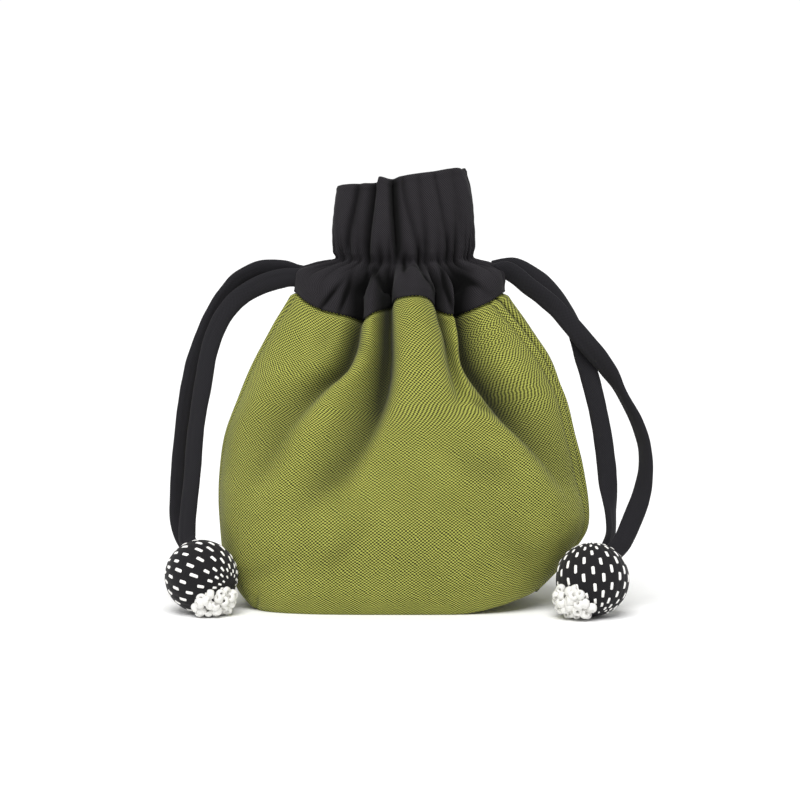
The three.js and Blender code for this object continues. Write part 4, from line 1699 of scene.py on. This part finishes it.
CORD_ROUTES = (
    CordRoute(
        Hand.LEFT,
        Side.FRONT,
        (
            (-45.2, -2.2, 137.2), (-50.0, -2.2, 137.1), (-59.5, -2.6, 134.3), (-68.6, -3.5, 129.0),
            (-74.8, -4.6, 122.2), (-79.0, -5.7, 113.8), (-81.6, -6.7, 105.1), (-83.4, -7.8, 94.7),
            (-85.2, -8.8, 84.4), (-86.9, -9.9, 72.4), (-88.1, -10.9, 57.5), (-89.3, -12.0, 45.1),
            (-90.2, -13.4, 36.0), (-90.2, -15.8, 29.6), (-88.7, -19.0, 25.9),
        ),
        ((0, 0), (0.2, 0), (0.3, 12), (0.45, 22), (0.8, 30), (1, 20)),
    ),
    CordRoute(
        Hand.LEFT,
        Side.BACK,
        (
            (-45.2, 2.2, 138.6), (-50.4, 2.2, 140.2), (-59.8, 2.6, 140.3), (-69.0, 1.9, 136.0),
            (-75.2, 0.9, 129.4), (-80.0, -0.3, 121.4), (-84.2, -1.6, 112.2), (-87.3, -2.8, 103.4),
            (-89.3, -3.9, 94.6), (-91.3, -5.0, 83.0), (-92.9, -6.0, 70.0), (-94.0, -7.0, 57.0),
            (-94.6, -8.1, 45.4), (-94.2, -9.4, 36.4), (-92.2, -11.3, 30.2), (-87.7, -15.8, 23.9),
        ),
        ((0, 0), (0.2, -25), (0.35, -30), (0.5, -35), (0.8, -38), (1, -20)),
    ),
    CordRoute(
        Hand.RIGHT,
        Side.FRONT,
        (
            (42.4, -2.2, 140.2), (46.4, -2.2, 138.2), (52.0, -3.2, 133.6), (57.4, -4.6, 129.6),
            (62.9, -6.1, 124.9), (67.9, -7.6, 119.5), (73.4, -8.9, 113.0), (84.8, -10.6, 99.1),
            (91.4, -11.7, 87.6), (96.4, -12.9, 78.0), (99.6, -14.2, 68.0), (100.2, -15.5, 58.0),
            (98.2, -16.7, 46.8), (94.4, -18.4, 37.2), (90.0, -22.2, 28.6), (85.1, -26.9, 24.1),
        ),
        ((0, 20), (0.12, 25), (0.3, 5), (0.42, 30), (0.5, 62), (0.6, 55), (0.72, 50), (0.85, 10), (1, 0)),
    ),
    CordRoute(
        Hand.RIGHT,
        Side.BACK,
        (
            (42.0, 2.2, 141.0), (46.4, 2.2, 141.2), (52.2, 1.6, 138.6), (58.4, 0.6, 134.3),
            (64.6, -0.6, 127.6), (69.4, -1.9, 119.9), (72.6, -3.2, 112.4), (75.4, -4.9, 103.0),
            (78.2, -6.9, 93.0), (80.7, -8.8, 82.4), (82.6, -10.5, 71.8), (84.0, -12.2, 61.0),
            (85.0, -13.8, 50.0), (85.8, -15.2, 40.4), (85.8, -16.8, 31.6), (82.9, -22.4, 22.2),
        ),
        ((0, 0), (0.15, -20), (0.3, -30), (0.45, 0), (0.75, 0), (0.86, -55), (0.93, -60), (1, -30)),
    ),
)


# The balls and beads


@dataclass
class StitchedBall:
    """A wooden ball in black cloth, with rows of white running stitches that meet at two poles.

    centre is in millimetres. The stitch rows run like meridians from pole to pole of stitch_axis, and the
    bead cluster sits opposite to where bead_axis points. stitch_angles holds where a row's stitches lie, as
    angles from a pole, for every even row and for every odd one.
    """

    hand: Hand
    centre: tuple[float, float, float]
    bead_axis: tuple[float, float, float]
    stitch_axis: tuple[float, float, float]
    stitch_seed: int
    bead_seed: int
    radius: float = 15 * MM
    pinch: float = 0.012
    rows: int = 24
    stitch_angles: tuple[tuple[float, ...], ...] = (
        (0.36, 0.62, 1.0, 1.47, 1.96, 2.44, 2.8),
        (0.48, 0.79, 1.23, 1.72, 2.2, 2.64, 2.9),
    )
    stitch_length: float = 3.7 * MM
    stitch_width: float = 1.6 * MM
    stitch_height: float = 0.45 * MM
    stitch_squareness: float = 9
    stitch_sunk: float = 0.985
    bead_radius: float = 2.2 * MM
    beads: int = 30
    dome: float = 7.3 * MM
    dome_shape: tuple[float, float, float] = (1.12, 0.95, -0.75)
    dome_sunk: float = 1.8 * MM

    def place(self, local: np.ndarray, axis: tuple[float, float, float]) -> np.ndarray:
        """Turns points from the ball's own frame into the pouch's frame.

        Args:
            local: the points, from the ball's middle.
            axis: the pouch's direction that is the ball's third one.

        Returns:
            The points in the pouch's frame, in metres.
        """
        along = unit(np.array(axis, float))
        across = unit(np.cross([0.0, 0.0, 1.0], along))
        return local @ np.stack([across, np.cross(along, across), along]) + np.array(self.centre) * MM

    def cover(self, finish: Finish) -> bpy.types.Object:
        """The cloth cover: a sphere over polar angle and turn, pulled in a little under the stitch rows.

        Args:
            finish: its cloth.

        Returns:
            The finished piece.
        """
        pole_gap = 0.02
        polar = np.linspace(pole_gap, np.pi - pole_gap, 90)[:, None]
        turn = np.linspace(0, TAU, 176, endpoint=False)[None, :]
        under_row = np.abs(np.cos(turn * self.rows / 2)) ** 6
        radius = self.radius * (1 - self.pinch * under_row * np.sin(polar) ** 0.5)
        points = self.place(spherical(radius, polar, turn), self.stitch_axis)
        uv = stack(turn * self.radius * 0.7, polar * self.radius)
        obj = new_mesh(f"ball_{self.hand.value}_cover", points, capped_tube(polar.size, turn.size), uv)
        dress(obj, finish, "stitched_cloth", f"ball_{self.hand.value}")
        return obj

    def stitch_places(self) -> tuple[np.ndarray, np.ndarray, np.ndarray]:
        """Where the stitches lie, each a little off its even place.

        Returns:
            Each stitch's polar angle, its turn, and how much longer than usual it is, from -1 to 1.
        """
        rng = np.random.default_rng(self.stitch_seed)
        row = np.arange(self.rows)[:, None]
        angles = np.array(self.stitch_angles)[row[:, 0] % 2]
        scatter = rng.uniform(-1, 1, (3, *angles.shape))
        polar = np.pi - angles + 0.05 * scatter[0]
        turn = (row + 0.1 * scatter[1]) / self.rows * TAU
        return polar.reshape(-1, 1), turn.reshape(-1, 1), scatter[2].reshape(-1, 1)

    def stitch_rows(self, finish: Finish) -> bpy.types.Object:
        """All running stitches of the ball as one mesh.

        Each stitch is a cushion laid along its meridian: its outline is a rounded rectangle, and its
        height falls from the middle to the outline as the root of 1 minus the square of the distance.

        Args:
            finish: its thread.

        Returns:
            The finished piece.
        """
        polar, turn, longer = self.stitch_places()
        half_long = self.stitch_length / 2 * (1 + 0.12 * longer) * np.sin(polar) ** 0.8
        half_wide = self.stitch_width / 2 * np.sin(polar) ** 0.5
        rings, spokes = 4, 24
        reach = np.linspace(0, 1, rings)[:, None]
        outline = superellipse(self.stitch_squareness, np.linspace(0, TAU, spokes, endpoint=False))
        along, across = ((reach * part).ravel() for part in outline)
        bulge = np.sqrt(1 - np.repeat(reach, spokes) ** 2)
        at_polar = polar + along * half_long / self.radius
        at_turn = turn + across * half_wide / (self.radius * np.sin(polar))
        radius = self.radius * self.stitch_sunk + self.stitch_height * bulge
        points = self.place(spherical(radius, at_polar, at_turn), self.stitch_axis)
        count, size = points.shape[:2]
        cushion = grid_quads(rings, spokes, ring=True)
        underside = np.arange((rings - 1) * spokes, rings * spokes)[None, ::-1]
        faces = repeated(cushion, count, size).tolist() + repeated(underside, count, size).tolist()
        obj = new_mesh(f"ball_{self.hand.value}_stitches", points, faces)
        finish.wear(obj)
        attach(obj, "root")
        return obj

    @staticmethod
    def bead(around: int, section: int) -> np.ndarray:
        """A drilled bead of about radius 1: an oval section carried round its hole.

        Args:
            around: points round the hole.
            section: points round the section.

        Returns:
            Its points, around by section by 3.
        """
        hole, fat, tall = 0.2, 0.8, 0.8
        turn = np.linspace(0, TAU, around, endpoint=False)[:, None]
        angle = np.linspace(0, TAU, section, endpoint=False)
        radius = hole + fat * (0.5 + 0.5 * np.cos(angle))
        return stack(radius * np.cos(turn), radius * np.sin(turn), tall * np.sin(angle) * np.sqrt(fat))

    def bead_cluster(self, finish: Finish) -> bpy.types.Object:
        """The beads: drilled rounds scattered over a small dome on the ball.

        The beads sit at even steps of a golden spiral over the dome, turned each its own way. None of
        them reaches below the floor.

        Args:
            finish: their glass.

        Returns:
            The finished piece.
        """
        rng = np.random.default_rng(self.bead_seed)
        index = np.arange(self.beads)
        golden_angle = np.pi * (3 - np.sqrt(5))
        lean = np.arccos(1 - (index + 0.5) / self.beads)
        angle = index * golden_angle + rng.uniform(-0.2, 0.2, self.beads)
        dome = self.dome * rng.uniform(0.9, 1.08, self.beads)
        local = spherical(dome, lean, angle) * self.dome_shape - [0, 0, self.radius - self.dome_sunk]
        centres = self.place(local, self.bead_axis)
        centres[:, 2] = np.maximum(centres[:, 2], self.bead_radius + 0.1 * MM)

        around, section = 20, 12
        bead = self.bead(around, section).reshape(-1, 3)
        bases = np.linalg.qr(rng.normal(size=(self.beads, 3, 3)))[0]
        bases *= np.sign(np.linalg.det(bases))[:, None, None]
        sizes = self.bead_radius * rng.uniform(0.9, 1.08, self.beads)
        points = centres[:, None] + np.einsum("pk,nkl->npl", bead, bases) * sizes[:, None, None]
        points[..., 2] = np.maximum(points[..., 2], 0.15 * MM)
        one = grid_quads(around, section, ring=True, loop=True)[:, ::-1]
        obj = new_mesh(f"bead_cluster_{self.hand.value}_beads", points, repeated(one, self.beads, len(bead)))
        dress(obj, finish, "white_beads", f"bead_cluster_{self.hand.value}")
        return obj


BALLS = (
    StitchedBall(
        Hand.LEFT,
        centre=(-83.5, -26.5, 15.2),
        bead_axis=(-0.45, 0.61, 0.66),
        stitch_axis=(-0.84, 0.48, 0.22),
        stitch_seed=7,
        bead_seed=21,
    ),
    StitchedBall(
        Hand.RIGHT,
        centre=(76.9, -34.5, 15.2),
        bead_axis=(0.58, 0.6, 0.55),
        stitch_axis=(-0.07, 0.3, 0.95),
        stitch_seed=8,
        bead_seed=22,
    ),
)


# The set


@dataclass
class Studio:
    """The camera at the photograph's angle, a white floor and soft light. Angles are in degrees.

    sun_height is the key light's height above the horizon, sun_turn how far to the left of the camera it
    stands, and sun_width how wide it looks. room_light and backdrop_light are the surround's strengths
    behind the camera and behind the pouch, and backdrop_from and backdrop_to bound the change between them.
    """

    distance: float = 1.0
    elevation: float = 5.0
    lens: float = 107.1
    sensor: float = 36
    target: tuple[float, float, float] = (-1.68 * MM, 0.0, 85.7 * MM)
    floor_half: float = 6.0
    sun_height: float = 56
    sun_turn: float = 8
    sun_strength: float = 3.1
    sun_width: float = 42
    room_light: float = 0.34
    backdrop_light: float = 1.03
    backdrop_from: float = 0.45
    backdrop_to: float = 0.85

    @staticmethod
    def aim(name: str, data: bpy.types.ID, location: Vector, way: Vector) -> bpy.types.Object:
        """Puts a camera or lamp at a place, turned to look the given way.

        Args:
            name: the object's name.
            data: the camera or lamp.
            location: where it stands.
            way: the direction that it looks in.

        Returns:
            The new object, linked to the scene.
        """
        obj = bpy.data.objects.new(name, data)
        obj.location = location
        obj.rotation_mode = "QUATERNION"
        obj.rotation_quaternion = way.to_track_quat("-Z", "Y")
        bpy.context.scene.collection.objects.link(obj)
        return obj

    def camera(self) -> None:
        """A camera that looks at the target along +Y, from a little above."""
        data = bpy.data.cameras.new("camera")
        data.lens = self.lens
        data.sensor_width = self.sensor
        tilt = np.radians(self.elevation)
        back = Vector((0, -np.cos(tilt), np.sin(tilt)))
        camera = self.aim("camera", data, Vector(self.target) + back * self.distance, -back)
        bpy.context.scene.camera = camera

    def floor(self, finish: Finish) -> None:
        """A wide flat floor.

        Args:
            finish: what it is made of.
        """
        half = self.floor_half
        points = np.array([[-half, -half, 0], [half, -half, 0], [half, half, 0], [-half, half, 0]])
        obj = new_mesh("floor", points, np.array([[0, 1, 2, 3]]))
        finish.wear(obj)

    def sun(self) -> None:
        """The key light, from far away."""
        data = bpy.data.lights.new("key", "SUN")
        data.energy = self.sun_strength
        data.angle = np.radians(self.sun_width)
        up, side = np.radians(self.sun_height), np.radians(self.sun_turn)
        towards = Vector((-np.cos(up) * np.sin(side), -np.cos(up) * np.cos(side), np.sin(up)))
        self.aim("key", data, towards * 2, -towards)

    def world(self) -> None:
        """A white cyclorama behind the pouch, and a dimmer room in front of it.

        The strength grows smoothly with the direction's share along +Y, the way the camera looks.
        """
        world = bpy.data.worlds.new("surround")
        world.use_nodes = True
        tree = world.node_tree
        way = add_node(tree, "ShaderNodeTexCoord").outputs["Generated"]
        strength = add_node(
            tree,
            "ShaderNodeMapRange",
            {"interpolation_type": "SMOOTHSTEP"},
            Value=add_node(tree, "ShaderNodeSeparateXYZ", Vector=way).outputs[1],
            From_Min=self.backdrop_from,
            From_Max=self.backdrop_to,
            To_Min=self.room_light,
            To_Max=self.backdrop_light,
        )
        background = tree.nodes["Background"]
        background.inputs["Color"].default_value = (1, 1, 1, 1)
        tree.links.new(strength.outputs[0], background.inputs["Strength"])
        bpy.context.scene.world = world

    def build(self, finish: Finish) -> None:
        """Builds the whole set.

        Args:
            finish: what the floor is made of.
        """
        self.camera()
        self.floor(finish)
        self.world()
        self.sun()
        scene = bpy.context.scene
        scene.view_settings.view_transform = "Standard"
        scene.view_settings.look = "None"


def report(obj: bpy.types.Object) -> bpy.types.Object:
    """Logs a finished piece, and hands it on."""
    LOG.info("%s: %d faces", obj.name, len(obj.data.polygons))
    return obj


def main() -> None:
    """Builds the pouch piece by piece."""
    logging.basicConfig(level=logging.INFO, format="%(name)s: %(message)s")
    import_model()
    Studio().build(WhitePaper())

    cord_cotton, ball_cotton, thread, glass = BlackCordCotton(), BallCotton(), WhiteThread(), MilkGlass()
    for ball in BALLS:
        pieces = (ball.cover(ball_cotton), ball.stitch_rows(thread), ball.bead_cluster(glass))
        [report(piece) for piece in pieces]
    for route in CORD_ROUTES:
        report(Cord(route).make(cord_cotton))

    form = ClothForm()
    neck = Neck(form)
    report(neck.band(BlackCotton()))
    for hand in Hand:
        report(neck.hidden_cord(hand, cord_cotton))
    bag, chambray = Bag(form), OliveChambray()
    for side in Side:
        report(bag.panel(side, chambray))


if __name__ == "__main__":
    main()
